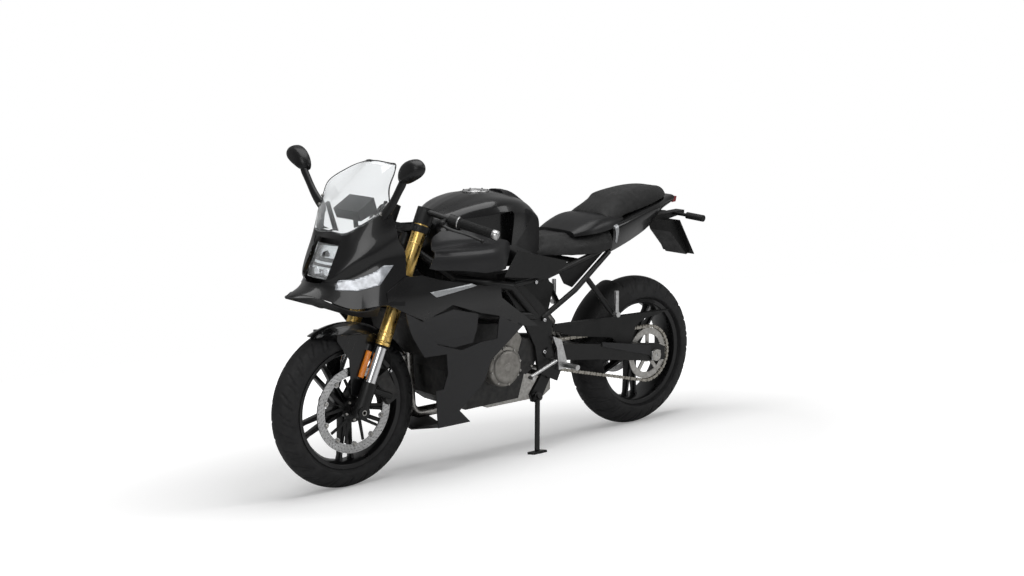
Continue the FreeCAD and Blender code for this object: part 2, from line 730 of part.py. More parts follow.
HEAD_TUBE_LOW = LOWER_CLAMP_PLACE + LOWER_CLAMP_HEIGHT + HEAD_GAP
HEAD_TUBE_TOP = UPPER_CLAMP_PLACE - HEAD_GAP
BEAM_HEAD_SHARE = 0.76
DOWN_TUBE_HEAD_SHARE = 0.33
BEAM_SHARES = ((0.72, 0.56, 0.745), (0.545, 0.64, 0.690), (0.455, 0.60, 0.560))
DOWN_TUBE_SHARES = ((0.735, 0.36, 0.690), (0.650, 0.60, 0.600), (0.455, 0.60, 0.560))
PIVOT_PLATE_SHARES = (
    (0.500, 0.690), (0.560, 0.680), (0.500, 0.560), (0.455, 0.440), (0.440, 0.330),
    (0.375, 0.285), (0.360, 0.330), (0.395, 0.420), (0.395, 0.520), (0.430, 0.600),
)
PIVOT_PLATE_Y = 152.0
SWINGARM_PIVOT_SHARES = (0.411, 0.0, 0.405)
CROSS_TUBE_SHARES = ((0.52, 0.64, 0.665), (0.425, 0.60, 0.570), (0.400, 0.60, 0.308))


def head_tube():
    length = HEAD_TUBE_TOP - HEAD_TUBE_LOW
    low = V(-STEERING_OFFSET, 0, HEAD_TUBE_LOW)
    outer = Part.makeCylinder(STEM_RADIUS + HEAD_TUBE_WALL, length, low, AXIS_Z)
    return on_fork(outer)


def head_point(share):
    """A point on the steering axis, at a share of the head tube's length."""
    up = HEAD_TUBE_LOW + (HEAD_TUBE_TOP - HEAD_TUBE_LOW) * share
    return fork_point(-STEERING_OFFSET, 0, up)


def head_bore():
    length = HEAD_TUBE_TOP - HEAD_TUBE_LOW
    low = V(-STEERING_OFFSET, 0, HEAD_TUBE_LOW)
    return on_fork(Part.makeCylinder(STEM_RADIUS + FIT, length, low, AXIS_Z))


def main_frame():
    """Head tube, twin beams, down tubes and the plates that hold the swingarm."""
    beam = tube_run([head_point(BEAM_HEAD_SHARE)] + [body(p) for p in BEAM_SHARES], FRAME_TUBE_RADIUS)
    lower = tube_run([head_point(DOWN_TUBE_HEAD_SHARE)] + [body(p) for p in DOWN_TUBE_SHARES], FRAME_TUBE_RADIUS)
    plate = side_prism(PIVOT_PLATE_SHARES, PIVOT_PLATE_Y - PLATE_THICKNESS, PIVOT_PLATE_Y)
    left = [beam, lower, plate]
    crosses = []
    for shares in CROSS_TUBE_SHARES:
        end = body(shares)
        end.y = PIVOT_PLATE_Y - PLATE_THICKNESS / 2
        crosses.append(rod(end, V(end.x, -end.y, end.z), SUBFRAME_TUBE_RADIUS))
    pieces = [head_tube()] + left + [mirrored(piece) for piece in left] + crosses
    frame = fused(pieces).cut(head_bore())
    pivot = body(SWINGARM_PIVOT_SHARES)
    pin = Part.makeCylinder(REAR_AXLE_RADIUS, 4 * PIVOT_PLATE_Y, pivot - AXIS_Y * (2 * PIVOT_PLATE_Y), AXIS_Y)
    return frame.cut(pin)


TOP_RAIL_SHARES = ((0.535, 0.60, 0.690), (0.415, 0.60, 0.706), (0.167, 0.48, 0.785), (0.02, 0.30, 0.880))
LOW_RAIL_SHARES = ((0.430, 0.60, 0.545), (0.308, 0.58, 0.635), (0.167, 0.48, 0.765))
BRACE_SHARES = ((0.262, 0.547, 0.677), (0.179, 0.66, 0.520))
SUB_CROSS_SHARES = ((0.29, 0.54, 0.746), (0.10, 0.40, 0.828))


def subframe(frame):
    """The tubes that carry the seats and the tail."""
    left = []
    for table in (TOP_RAIL_SHARES, LOW_RAIL_SHARES, BRACE_SHARES):
        left.append(tube_run([body(p) for p in table], SUBFRAME_TUBE_RADIUS))
    crosses = []
    for shares in SUB_CROSS_SHARES:
        end = body(shares)
        crosses.append(rod(end, V(end.x, -end.y, end.z), SUBFRAME_TUBE_RADIUS))
    return fused(left + [mirrored(piece) for piece in left] + crosses).cut(frame)


ARM_OUTLINE_SHARES = (
    (0.430, 0.445), (0.340, 0.425), (0.217, 0.400), (-0.019, 0.354), (-0.040, 0.340),
    (-0.040, 0.285), (0.020, 0.290), (0.223, 0.338), (0.340, 0.360), (0.430, 0.370),
)
ARM_STEP_SHARE = 0.350
SPOOL_SHARES = (0.060, 0.0, 0.334)
SPOOL_RADIUS = 4.0
SPOOL_DEPTH = 20.0
ARM_CROSS_SHARES = ((0.245, 0.352), (0.245, 0.400), (0.300, 0.412), (0.300, 0.362))


def swingarm():
    """Two beams joined by the pivot tube and a cross member ahead of the tyre."""
    outer = SWINGARM_INNER + SWINGARM_THICKNESS
    arm = side_prism(ARM_OUTLINE_SHARES, SWINGARM_INNER, outer)
    pivot = body(SWINGARM_PIVOT_SHARES)
    half = PIVOT_PLATE_Y - PLATE_THICKNESS - FIT
    tube = Part.makeCylinder(SWINGARM_PIVOT_RADIUS, 2 * half, pivot - AXIS_Y * half, AXIS_Y)
    cross = side_prism(ARM_CROSS_SHARES, -SWINGARM_INNER, SWINGARM_INNER)
    plate_room = Part.makeBox(WHEELBASE, BODY_HALF_WIDTH, BODY_HEIGHT)
    plate_room.translate(V(ARM_STEP_SHARE * WHEELBASE, half, 0))
    arm = arm.cut(plate_room)
    start = body(SPOOL_SHARES) + AXIS_Y * (outer - SPOOL_DEPTH)
    arm = arm.cut(Part.makeCylinder(SPOOL_RADIUS, 2 * SPOOL_DEPTH, start, AXIS_Y))
    whole = fused([arm, mirrored(arm), tube, cross])
    pin = Part.makeCylinder(REAR_AXLE_RADIUS + FIT, 2 * half, pivot - AXIS_Y * half, AXIS_Y)
    whole = whole.cut(pin)
    axle = V(0, -2 * SWINGARM_INNER, REAR_TYRE_RADIUS)
    return whole.cut(Part.makeCylinder(REAR_AXLE_RADIUS + FIT, 4 * SWINGARM_INNER, axle, AXIS_Y))


def rear_axle():
    half = SWINGARM_INNER + SWINGARM_THICKNESS + RIM_WALL
    spindle = Part.makeCylinder(REAR_AXLE_RADIUS, 2 * half, V(0, -half, 0), AXIS_Y)
    nut_length = RIM_WALL + RIM_FLANGE
    nut = Part.makeCylinder(2 * REAR_AXLE_RADIUS, nut_length, V(0, half - RIM_WALL + FIT, 0), AXIS_Y)
    inner = CHAIN_PLANE + SPROCKET_THICKNESS / 2 + FIT
    spacer = Part.makeCylinder(REAR_AXLE_RADIUS + RIM_WALL, SWINGARM_INNER - FIT - inner, V(0, inner, 0), AXIS_Y)
    inner_right = REAR_HUB_HALF + DISC_THICKNESS + FIT
    right = Part.makeCylinder(REAR_AXLE_RADIUS + RIM_WALL, SWINGARM_INNER - FIT - inner_right,
                              V(0, inner_right - SWINGARM_INNER + FIT - inner_right, 0), AXIS_Y)
    whole = fused([spindle, nut, mirrored(nut), spacer, right])
    whole = whole.cut(Part.makeCylinder(AXLE_BORE_RADIUS, 4 * half, V(0, -2 * half, 0), AXIS_Y))
    return along_y(whole, V(0, 0, REAR_TYRE_RADIUS))


SHOCK_TOP_SHARES = (0.425, 0.0, 0.665)
SHOCK_LOW_SHARES = (0.275, 0.0, 0.415)
SHOCK_RADIUS = 16.0
SPRING_RADIUS = 30.0


def rear_shock(frame, arm):
    """The single damper between the frame's cross tube and the swingarm."""
    top = body(SHOCK_TOP_SHARES)
    low = body(SHOCK_LOW_SHARES)
    run = (top - low).normalize()
    length = (top - low).Length
    body_rod = rod(low, top, SHOCK_RADIUS)
    spring = rod(low + run * (length / 4), top - run * (length / 8), SPRING_RADIUS)
    return fused([body_rod, spring]).cut(arm).cut(frame)


PIVOT_BOLT_RADIUS = 14.0


def pivot_bolt():
    pivot = body(SWINGARM_PIVOT_SHARES)
    half = PIVOT_PLATE_Y + RIM_WALL
    bolt = Part.makeCylinder(REAR_AXLE_RADIUS - FIT, 2 * half, pivot - AXIS_Y * half, AXIS_Y)
    head = Part.makeCylinder(PIVOT_BOLT_RADIUS + RIM_WALL, RIM_FLANGE, pivot + AXIS_Y * (PIVOT_PLATE_Y + FIT), AXIS_Y)
    return fused([bolt, head, mirrored(head)])


def chain():
    """The drive chain as a closed band around both sprockets."""
    front = body(FRONT_SPROCKET_SHARES)
    rear = V(0, 0, REAR_TYRE_RADIUS)
    span = front - rear
    distance = span.Length
    slope = math.atan2(span.z, span.x)
    tilt = math.asin((REAR_PITCH_RADIUS - FRONT_PITCH_RADIUS) / distance)
    faces = []
    for shift in (CHAIN_PLATE_HALF, -CHAIN_PLATE_HALF):
        faces.append(chain_loop(rear, front, slope, tilt, shift))
    band = faces[0].extrude(AXIS_Y * (2 * CHAIN_HALF_WIDTH))
    inside = faces[1].extrude(AXIS_Y * (2 * CHAIN_HALF_WIDTH))
    return band.cut(inside)


def chain_loop(rear, front, slope, tilt, shift):
    """The belt-shaped outline round both sprockets, shifted out from the pitch line."""
    plane = AXIS_Y * (CHAIN_PLANE - CHAIN_HALF_WIDTH)
    up = slope + math.pi / 2 - tilt
    down = slope - math.pi / 2 + tilt
    rear_radius = REAR_PITCH_RADIUS + shift
    front_radius = FRONT_PITCH_RADIUS + shift

    def at(centre, radius, angle):
        return centre + plane + V(math.cos(angle), 0, math.sin(angle)) * radius

    rear_top = at(rear, rear_radius, up)
    rear_low = at(rear, rear_radius, down)
    front_top = at(front, front_radius, up)
    front_low = at(front, front_radius, down)
    edges = [
        Part.LineSegment(rear_top, front_top).toShape(),
        Part.Arc(front_top, at(front, front_radius, slope), front_low).toShape(),
        Part.LineSegment(front_low, rear_low).toShape(),
        Part.Arc(rear_low, at(rear, rear_radius, slope + math.pi), rear_top).toShape(),
    ]
    return Part.Face(Part.Wire(edges))


def drive_sprocket():
    """The small sprocket on the gearbox shaft."""
    centre = body(FRONT_SPROCKET_SHARES)
    radius = FRONT_PITCH_RADIUS - CHAIN_PLATE_HALF - FIT
    plane = CHAIN_PLANE - SPROCKET_THICKNESS / 2
    plate = Part.makeCylinder(radius, SPROCKET_THICKNESS, centre + AXIS_Y * plane, AXIS_Y)
    wall = CHAIN_PLANE - CHAIN_HALF_WIDTH - RUNNING_GAP + FIT
    shaft = Part.makeCylinder(REAR_AXLE_RADIUS, plane + 2 * SPROCKET_THICKNESS - wall, centre + AXIS_Y * wall, AXIS_Y)
    return fused([plate, shaft])


GUARD_OUTLINE_SHARES = (
    (0.371, 0.489), (0.205, 0.480), (-0.066, 0.484), (-0.066, 0.470), (0.015, 0.460), (0.010, 0.345), (0.030, 0.345),
    (0.038, 0.458), (0.180, 0.447), (0.180, 0.380), (0.200, 0.380), (0.205, 0.445), (0.371, 0.460),
)


def chain_guard(arm):
    """The plate over the chain's upper run, with two tabs that stand on the swingarm."""
    inner = SWINGARM_INNER + SWINGARM_THICKNESS / 2
    return side_prism(GUARD_OUTLINE_SHARES, inner, inner + SKIN).cut(arm)


REAR_GUARD_START = 80.0
REAR_GUARD_SWEEP = 58.0
GUARD_LUG_ANGLE = 74.0
GUARD_LUG_HALF_SPACING = 40.0
GUARD_LUG_RADIUS = 9.0


def rear_mudguard(arm):
    """The guard ahead of the rear tyre, on two lugs that meet the swingarm's cross member."""
    half_width = REAR_TYRE_HALF_WIDTH + RUNNING_GAP
    radius = REAR_TYRE_RADIUS + MUDGUARD_GAP
    guard = mudguard(radius, half_width, REAR_GUARD_START, REAR_GUARD_SWEEP)
    angle = math.radians(GUARD_LUG_ANGLE)
    reach = math.sqrt(radius ** 2 - GUARD_LUG_HALF_SPACING ** 2 / 2)
    root = V(math.sin(angle) * reach, GUARD_LUG_HALF_SPACING, REAR_TYRE_RADIUS + math.cos(angle) * reach)
    seat = V(ARM_CROSS_SHARES[1][0] * WHEELBASE + GUARD_LUG_RADIUS, root.y, root.z)
    lug = rod(root, seat, GUARD_LUG_RADIUS).cut(along_y(tyre_room(), V(0, 0, REAR_TYRE_RADIUS))).cut(arm)
    return fused([along_y(guard, V(0, 0, REAR_TYRE_RADIUS)), lug, mirrored(lug)])


def tyre_room():
    """What the rear tyre needs free, as a drum with a round crown."""
    return tyre(REAR_TYRE_RADIUS + RUNNING_GAP, REAR_TYRE_HALF_WIDTH, REAR_RIM_HALF_WIDTH)


def rear_caliper(axle):
    """The rear caliper on the bracket that the axle holds against the swingarm."""
    face = -REAR_HUB_HALF - DISC_THICKNESS
    block = caliper(REAR_DISC_RADIUS, face, REAR_CALIPER_ANGLE, REAR_CALIPER_WIDTH)
    outer = face + (DISC_THICKNESS - REAR_CALIPER_WIDTH) / 2
    arm = Part.makeBox(REAR_CALIPER_WIDTH, SWINGARM_INNER - FIT + outer, REAR_DISC_RADIUS)
    arm.translate(V(-REAR_CALIPER_WIDTH / 2, -SWINGARM_INNER + FIT, 0))
    arm.rotate(ORIGIN, AXIS_Y, 90 - REAR_CALIPER_ANGLE)
    return largest(along_y(block.fuse(arm), V(0, 0, REAR_TYRE_RADIUS)).cut(axle))


# Engine group

CRANKCASE_SHARES = (
    (0.500, 0.240), (0.480, 0.330), (0.490, 0.470), (0.540, 0.540), (0.640, 0.560),
    (0.735, 0.500), (0.748, 0.400), (0.735, 0.290), (0.680, 0.235),
)
CYLINDER_SHARES = ((0.640, 0.540), (0.680, 0.650), (0.752, 0.640), (0.735, 0.480))
CRANKCASE_HALF = 128.0
CYLINDER_HALF = 105.0
COVER_SHARES = (0.581, 0.0, 0.388)
COVER_RADIUS = 74.0
COVER_STEP = 16.0
COVER_DEPTH = 66.0


def engine(frame):
    """The crankcase and the cylinder block that leans forward on it."""
    case = side_prism(CRANKCASE_SHARES, -CRANKCASE_HALF, CRANKCASE_HALF)
    block = side_prism(CYLINDER_SHARES, -CYLINDER_HALF, CYLINDER_HALF)
    reach = FRONT_PITCH_RADIUS + CHAIN_PLATE_HALF + RUNNING_GAP
    recess_y = CHAIN_PLANE - CHAIN_HALF_WIDTH - RUNNING_GAP
    centre = body(FRONT_SPROCKET_SHARES) + AXIS_Y * recess_y
    recess = Part.makeCylinder(reach, CRANKCASE_HALF, centre, AXIS_Y)
    tail = Part.makeBox(2 * reach, CRANKCASE_HALF, 2 * reach)
    tail.translate(centre - V(2 * reach, 0, reach))
    return fused([case, block]).cut(recess.fuse(tail)).cut(frame)


def engine_covers():
    """Round covers on both ends of the crankshaft."""
    centre = body(COVER_SHARES)
    base = centre + AXIS_Y * (CRANKCASE_HALF + FIT)
    drum = Part.makeCylinder(COVER_RADIUS, COVER_DEPTH - COVER_STEP, base, AXIS_Y)
    cap = Part.makeCylinder(COVER_RADIUS - COVER_STEP, COVER_DEPTH, base, AXIS_Y)
    return pair(fused([drum, cap]))


RADIATOR_TYRE_SHARES = ((-0.997, 0.583), (-0.847, 1.067), (-0.750, 1.047), (-0.900, 0.563))
RADIATOR_HALF = 150.0


RADIATOR_ARM_SHARES = (0.735, 0.0, 0.490)
RADIATOR_ARM_END_SHARES = (-0.93, 0.66)
RADIATOR_ARM_SHARE = 0.70
RADIATOR_ARM_RADIUS = 7.0


def behind_tyre(shares, y):
    """A point placed from the front axle by shares of the tyre's radius."""
    ahead, above = shares
    return V(WHEELBASE + ahead * FRONT_TYRE_RADIUS, y, FRONT_TYRE_RADIUS * (1 + above))


def radiator(motor):
    """The radiator core behind the front tyre, on two arms from the crankcase."""
    corners = [behind_tyre(pair_of_shares, -RADIATOR_HALF) for pair_of_shares in RADIATOR_TYRE_SHARES]
    core = Part.Face(Part.makePolygon(corners + corners[:1])).extrude(AXIS_Y * (2 * RADIATOR_HALF))
    middle = RADIATOR_HALF * RADIATOR_ARM_SHARE
    root = body(RADIATOR_ARM_SHARES) + AXIS_Y * middle
    arm = largest(rod(root, behind_tyre(RADIATOR_ARM_END_SHARES, middle), RADIATOR_ARM_RADIUS).cut(motor))
    return fused([core, arm, mirrored(arm)])


PIPE_RADIUS = 21.0
PIPE_BEND = 45.0
PIPE_SHARES = (
    (0.740, -0.20, 0.590), (0.778, -0.20, 0.560), (0.772, -0.20, 0.400), (0.765, -0.20, 0.207), (0.660, -0.20, 0.207),
    (0.480, -0.40, 0.207),
)
MUFFLER_SHARES = (
    (0.500, 0.165), (0.500, 0.225), (0.460, 0.285), (0.290, 0.285), (0.270, 0.265), (0.270, 0.190), (0.300, 0.165),
)
MUFFLER_INNER = 60.0
MUFFLER_OUTER = 134.0


def exhaust(motor):
    """The header from the cylinder, under the case to a short silencer."""
    pipe = bent_tube([body(p) for p in PIPE_SHARES], PIPE_RADIUS, PIPE_BEND)
    box = side_prism(MUFFLER_SHARES, -MUFFLER_OUTER, -MUFFLER_INNER)
    return fused([pipe, box]).cut(motor)


# Bodywork

STAY_RADIUS = 9.0
STAY_HEAD_SHARE = 0.45
STAY_NODE_SHARES = (0.950, 0.0, 0.905)
STAY_DASH_SHARES = (0.958, 0.0, 1.030)
STAY_LAMP_SHARES = (1.060, 0.0, 0.865)
STAY_SIDE_SHARES = (0.952, 0.90, 0.930)
STAY_KNEE_SHARES = (0.951, 0.50, 0.912)
MIRROR_FOOT_SHARES = (0.950, 0.745, 1.026)


def fairing_stay(frame, nose, screen, dash, lamp):
    """The tubes from the head tube that carry cowl, dash, lamp and mirrors."""
    node = body(STAY_NODE_SHARES)
    side = body(STAY_SIDE_SHARES)
    knee = body(STAY_KNEE_SHARES)
    tubes = [
        tube_run([head_point(STAY_HEAD_SHARE), node, body(STAY_DASH_SHARES)], STAY_RADIUS),
        rod(node, body(STAY_LAMP_SHARES), STAY_RADIUS),
        tube_run([side, knee, V(knee.x, -knee.y, knee.z), V(side.x, -side.y, side.z)], STAY_RADIUS),
    ]
    riser = rod(knee, body(MIRROR_FOOT_SHARES), STAY_RADIUS)
    tubes += [riser, mirrored(riser)]
    return largest(fused(tubes).cut(frame).cut(nose).cut(screen).cut(dash).cut(lamp))


def largest(shape):
    """The main solid of a trimmed shape, without its offcuts."""
    return max(shape.Solids, key=lambda solid: solid.Volume)


TANK_SHARES = (
    (0.745, ((0, 0.960), (0.16, 0.956), (0.26, 0.935), (0.32, 0.870), (0.30, 0.800))),
    (0.720, ((0, 0.985), (0.20, 0.980), (0.36, 0.950), (0.48, 0.880), (0.52, 0.790))),
    (0.666, ((0, 1.015), (0.32, 1.007), (0.54, 0.955), (0.66, 0.880), (0.68, 0.780))),
    (0.603, ((0, 1.036), (0.36, 1.026), (0.64, 0.965), (0.76, 0.870), (0.70, 0.775))),
    (0.553, ((0, 1.042), (0.34, 1.030), (0.62, 0.960), (0.74, 0.860), (0.66, 0.770))),
    (0.481, ((0, 1.030), (0.30, 1.014), (0.52, 0.945), (0.60, 0.850), (0.52, 0.765))),
    (0.425, ((0, 1.000), (0.24, 0.980), (0.42, 0.915), (0.48, 0.840), (0.42, 0.765))),
    (0.387, ((0, 0.945), (0.20, 0.930), (0.34, 0.885), (0.38, 0.830), (0.34, 0.775))),
)
CAP_SEAT = 2.0


def cap_centre():
    return body(CAP_SHARES)


def fuel_tank(frame):
    tank = lofted(TANK_SHARES)
    centre = cap_centre()
    room = Part.makeCylinder(CAP_RADIUS + FIT, BODY_HEIGHT, centre, AXIS_Z)
    return tank.cut(room).cut(frame)


def fuel_cap():
    """The filler lid, hinged at its front edge."""
    base = cap_centre() + AXIS_Z * FIT
    lid = Part.makeCylinder(CAP_RADIUS, CAP_THICKNESS, base, AXIS_Z)
    knob = Part.makeCylinder(CAP_RADIUS / 2, CAP_THICKNESS + CAP_SEAT, base, AXIS_Z)
    return fused([lid, knob])


TANK_PANEL_ROWS_SHARES = (
    ((0.850, 0.66, 0.955), (0.760, 0.54, 0.955), (0.670, 0.51, 0.955), (0.600, 0.62, 0.955)),
    ((0.850, 0.81, 0.880), (0.760, 0.67, 0.880), (0.670, 0.62, 0.880), (0.600, 0.75, 0.880)),
    ((0.850, 0.94, 0.770), (0.760, 0.93, 0.770), (0.670, 0.90, 0.770), (0.600, 0.84, 0.770)),
)
TANK_PANEL_SHARES = (
    (0.846, 0.815), (0.800, 0.905), (0.755, 0.940), (0.660, 0.955), (0.612, 0.935), (0.605, 0.850),
    (0.610, 0.785), (0.740, 0.795),
)


def trimmed(skin, outline_shares):
    """Keep what lies inside a side-view outline."""
    return skin.common(side_prism(outline_shares, 0, 2 * BODY_HALF_WIDTH))


def tank_panels(tank):
    skin = panel(share_rows(TANK_PANEL_ROWS_SHARES), SKIN)
    return pair(trimmed(skin, TANK_PANEL_SHARES).cut(tank))


RIDER_SEAT_SHARES = (
    (0.412, ((0, 0.852), (0.26, 0.848), (0.36, 0.825), (0.38, 0.785), (0, 0.785))),
    (0.342, ((0, 0.838), (0.34, 0.836), (0.48, 0.815), (0.52, 0.772), (0, 0.772))),
    (0.260, ((0, 0.842), (0.40, 0.842), (0.58, 0.818), (0.60, 0.760), (0, 0.760))),
    (0.190, ((0, 0.868), (0.42, 0.866), (0.58, 0.838), (0.60, 0.775), (0, 0.775))),
)
PILLION_SEAT_SHARES = (
    (0.195, ((0, 0.925), (0.26, 0.922), (0.36, 0.908), (0.38, 0.875), (0, 0.875))),
    (0.130, ((0, 0.968), (0.34, 0.964), (0.46, 0.940), (0.48, 0.895), (0, 0.895))),
    (0.040, ((0, 0.996), (0.34, 0.992), (0.46, 0.965), (0.48, 0.912), (0, 0.912))),
    (-0.045, ((0, 1.000), (0.30, 0.996), (0.40, 0.972), (0.42, 0.925), (0, 0.925))),
    (-0.107, ((0, 0.974), (0.20, 0.972), (0.28, 0.964), (0.30, 0.940), (0, 0.940))),
)
TAIL_SHARES = (
    (0.205, ((0, 0.885), (0.44, 0.880), (0.58, 0.850), (0.54, 0.800), (0, 0.800))),
    (0.130, ((0, 0.905), (0.46, 0.902), (0.56, 0.870), (0.44, 0.815), (0, 0.815))),
    (0.040, ((0, 0.924), (0.44, 0.922), (0.50, 0.892), (0.34, 0.838), (0, 0.838))),
    (-0.050, ((0, 0.940), (0.36, 0.938), (0.40, 0.914), (0.26, 0.868), (0, 0.868))),
    (-0.136, ((0, 0.956), (0.18, 0.954), (0.22, 0.940), (0.14, 0.918), (0, 0.918))),
)


def rider_seat(rails):
    seat = lofted(RIDER_SEAT_SHARES)
    return seat.cut(lofted(TANK_SHARES)).cut(lofted(TAIL_SHARES)).cut(rails)


def pillion_seat(tail):
    return largest(lofted(PILLION_SEAT_SHARES).cut(tail))


def tail_cowl(rails):
    return lofted(TAIL_SHARES).cut(rails)


NOSE_ROWS_SHARES = (
    ((0.947, 0.80, 1.035), (0.976, 0.64, 1.005), (1.007, 0.46, 0.972), (1.035, 0.31, 0.947), (1.040, 0, 0.948)),
    ((0.944, 0.85, 0.982), (0.979, 0.71, 0.955), (1.021, 0.52, 0.915), (1.058, 0.32, 0.885), (1.084, 0, 0.905)),
    ((0.940, 0.88, 0.926), (0.979, 0.78, 0.897), (1.034, 0.58, 0.852), (1.088, 0.32, 0.802), (1.115, 0, 0.812)),
    ((0.921, 0.95, 0.870), (0.979, 0.89, 0.840), (1.041, 0.64, 0.795), (1.089, 0.33, 0.765), (1.123, 0, 0.765)),
    ((0.940, 1.02, 0.700), (1.001, 0.96, 0.711), (1.051, 0.70, 0.690), (1.103, 0.34, 0.728), (1.164, 0, 0.732)),
)
LAMP_OPENING_SHARES = ((0.27, 0.925), (0.30, 0.800), (0.16, 0.775), (-0.16, 0.775), (-0.30, 0.800), (-0.27, 0.925))


def nose_half():
    return panel(share_rows(NOSE_ROWS_SHARES), SKIN)


def lamp_hole():
    front = 2 * WHEELBASE
    return front_prism(LAMP_OPENING_SHARES, WHEELBASE * LAMP_START_SHARE, front)


LAMP_START_SHARE = 1.02


def nose_cowl():
    """The front cowl with the opening for the head lamp."""
    left = nose_half()
    whole = left.fuse(mirrored(left))
    return whole.cut(lamp_hole())


LAMP_SECTION_SHARES = ((1.047, 0.915), (1.078, 0.905), (1.108, 0.815), (1.113, 0.785), (1.060, 0.785))
LAMP_HALF = 66.0


def headlight(nose):
    """The stacked head lamp behind the opening of the cowl."""
    return side_prism(LAMP_SECTION_SHARES, -LAMP_HALF, LAMP_HALF).cut(nose)


BEAK_ROWS_SHARES = (
    NOSE_ROWS_SHARES[-1][1:],
    ((0.970, 0.62, 0.655), (1.010, 0.40, 0.655), (1.060, 0.18, 0.680), (1.100, 0, 0.700)),
)


def beak(nose):
    """The under-lip of the nose, drawn to a point ahead of the wheel."""
    left = panel(share_rows(BEAK_ROWS_SHARES), SKIN)
    return largest(left.fuse(mirrored(left)).cut(nose))


SCREEN_ROWS_SHARES = NOSE_ROWS_SHARES[:1] + (
    ((0.925, 0.62, 1.100), (0.955, 0.52, 1.062), (0.985, 0.40, 1.035), (1.004, 0.22, 1.020), (1.010, 0, 1.020)),
    ((0.885, 0.44, 1.165), (0.905, 0.38, 1.140), (0.925, 0.28, 1.120), (0.940, 0.15, 1.112), (0.944, 0, 1.112)),
    ((0.868, 0.32, 1.180), (0.875, 0.26, 1.184), (0.882, 0.20, 1.187), (0.888, 0.10, 1.190), (0.890, 0, 1.190)),
)


def windscreen(nose):
    left = panel(share_rows(SCREEN_ROWS_SHARES), SCREEN_THICKNESS)
    return largest(left.fuse(mirrored(left)).cut(nose))


FAIRING_ROWS_SHARES = (
    ((0.985, 0.93, 0.900), (0.911, 0.96, 0.900), (0.822, 0.95, 0.900), (0.726, 0.90, 0.900), (0.630, 0.82, 0.900),
     (0.534, 0.76, 0.900), (0.430, 0.68, 0.900)),
    ((0.985, 0.97, 0.790), (0.911, 1.01, 0.790), (0.822, 1.01, 0.790), (0.726, 0.96, 0.790), (0.630, 0.88, 0.790),
     (0.534, 0.80, 0.790), (0.430, 0.72, 0.790)),
    ((0.985, 1.00, 0.690), (0.911, 1.05, 0.690), (0.822, 1.05, 0.690), (0.726, 1.00, 0.690), (0.630, 0.94, 0.690),
     (0.534, 0.85, 0.690), (0.430, 0.75, 0.690)),
    ((0.985, 0.86, 0.620), (0.911, 0.92, 0.620), (0.822, 0.94, 0.620), (0.726, 0.93, 0.620), (0.630, 0.90, 0.620),
     (0.534, 0.84, 0.620), (0.430, 0.76, 0.620)),
    ((0.985, 0.76, 0.540), (0.911, 0.80, 0.540), (0.822, 0.85, 0.540), (0.726, 0.87, 0.540), (0.630, 0.86, 0.540),
     (0.534, 0.82, 0.540), (0.430, 0.76, 0.540)),
    ((0.985, 0.74, 0.400), (0.911, 0.76, 0.400), (0.822, 0.80, 0.400), (0.726, 0.83, 0.400), (0.630, 0.83, 0.400),
     (0.534, 0.80, 0.400), (0.430, 0.76, 0.400)),
    ((0.985, 0.74, 0.190), (0.911, 0.74, 0.190), (0.822, 0.75, 0.190), (0.726, 0.75, 0.190), (0.630, 0.73, 0.190),
     (0.534, 0.70, 0.190), (0.430, 0.68, 0.190)),
)
UPPER_OUTLINE_SHARES = (
    (0.930, 0.870), (0.912, 0.868), (0.861, 0.808), (0.743, 0.782), (0.658, 0.750), (0.620, 0.715), (0.451, 0.528),
    (0.542, 0.545), (0.640, 0.600), (0.780, 0.645), (0.862, 0.622), (0.936, 0.690),
)
LOWER_OUTLINE_SHARES = (
    (0.934, 0.684), (0.862, 0.618), (0.860, 0.560), (0.750, 0.515), (0.640, 0.520), (0.627, 0.596),
    (0.542, 0.541), (0.649, 0.450), (0.657, 0.351), (0.740, 0.235), (0.702, 0.206), (0.802, 0.206),
    (0.813, 0.350), (0.770, 0.352), (0.752, 0.410), (0.772, 0.480), (0.850, 0.480), (0.905, 0.600),
)


def fairing_part(outline_shares):
    return trimmed(panel(share_rows(FAIRING_ROWS_SHARES), SKIN), outline_shares)


def upper_fairing():
    return largest(fairing_part(UPPER_OUTLINE_SHARES).cut(nose_half()))


def lower_fairing():
    """A lower side panel, butted under the upper one."""
    return largest(fairing_part(LOWER_OUTLINE_SHARES).cut(side_prism(UPPER_OUTLINE_SHARES, 0, 2 * BODY_HALF_WIDTH)))


VANE_SHARES = (
    (0.875, 0.600), (0.868, 0.632), (0.779, 0.655), (0.690, 0.620), (0.690, 0.560), (0.700, 0.512), (0.760, 0.505),
    (0.866, 0.552),
)
VANE_SINK = 1.0


def fairing_vane(upper, lower):
    """The blade that backs the front of the side vent."""
    skin = along_y(fairing_part(VANE_SHARES), V(0, -SKIN - VANE_SINK, 0))
    return largest(skin.cut(upper).cut(lower))


BELLY_ROWS_SHARES = (
    ((0.800, 0.742, 0.2070), (0.745, 0.742, 0.2070), (0.700, 0.738, 0.2070)),
    ((0.790, 0.00, 0.1600), (0.740, 0.00, 0.1580), (0.695, 0.00, 0.1600)),
)


def belly_pan(lower):
    left = largest(panel(share_rows(BELLY_ROWS_SHARES), SKIN).cut(lower))
    return left.fuse(mirrored(left))


MIRROR_CENTRE_SHARES = (0.965, 1.40, 1.185)
MIRROR_KNEE_SHARES = (0.972, 0.98, 1.120)
MIRROR_HALF_WIDTH = 78.0
MIRROR_HALF_HEIGHT = 44.0
MIRROR_HALF_DEPTH = 24.0
MIRROR_STALK_RADIUS = 10.0


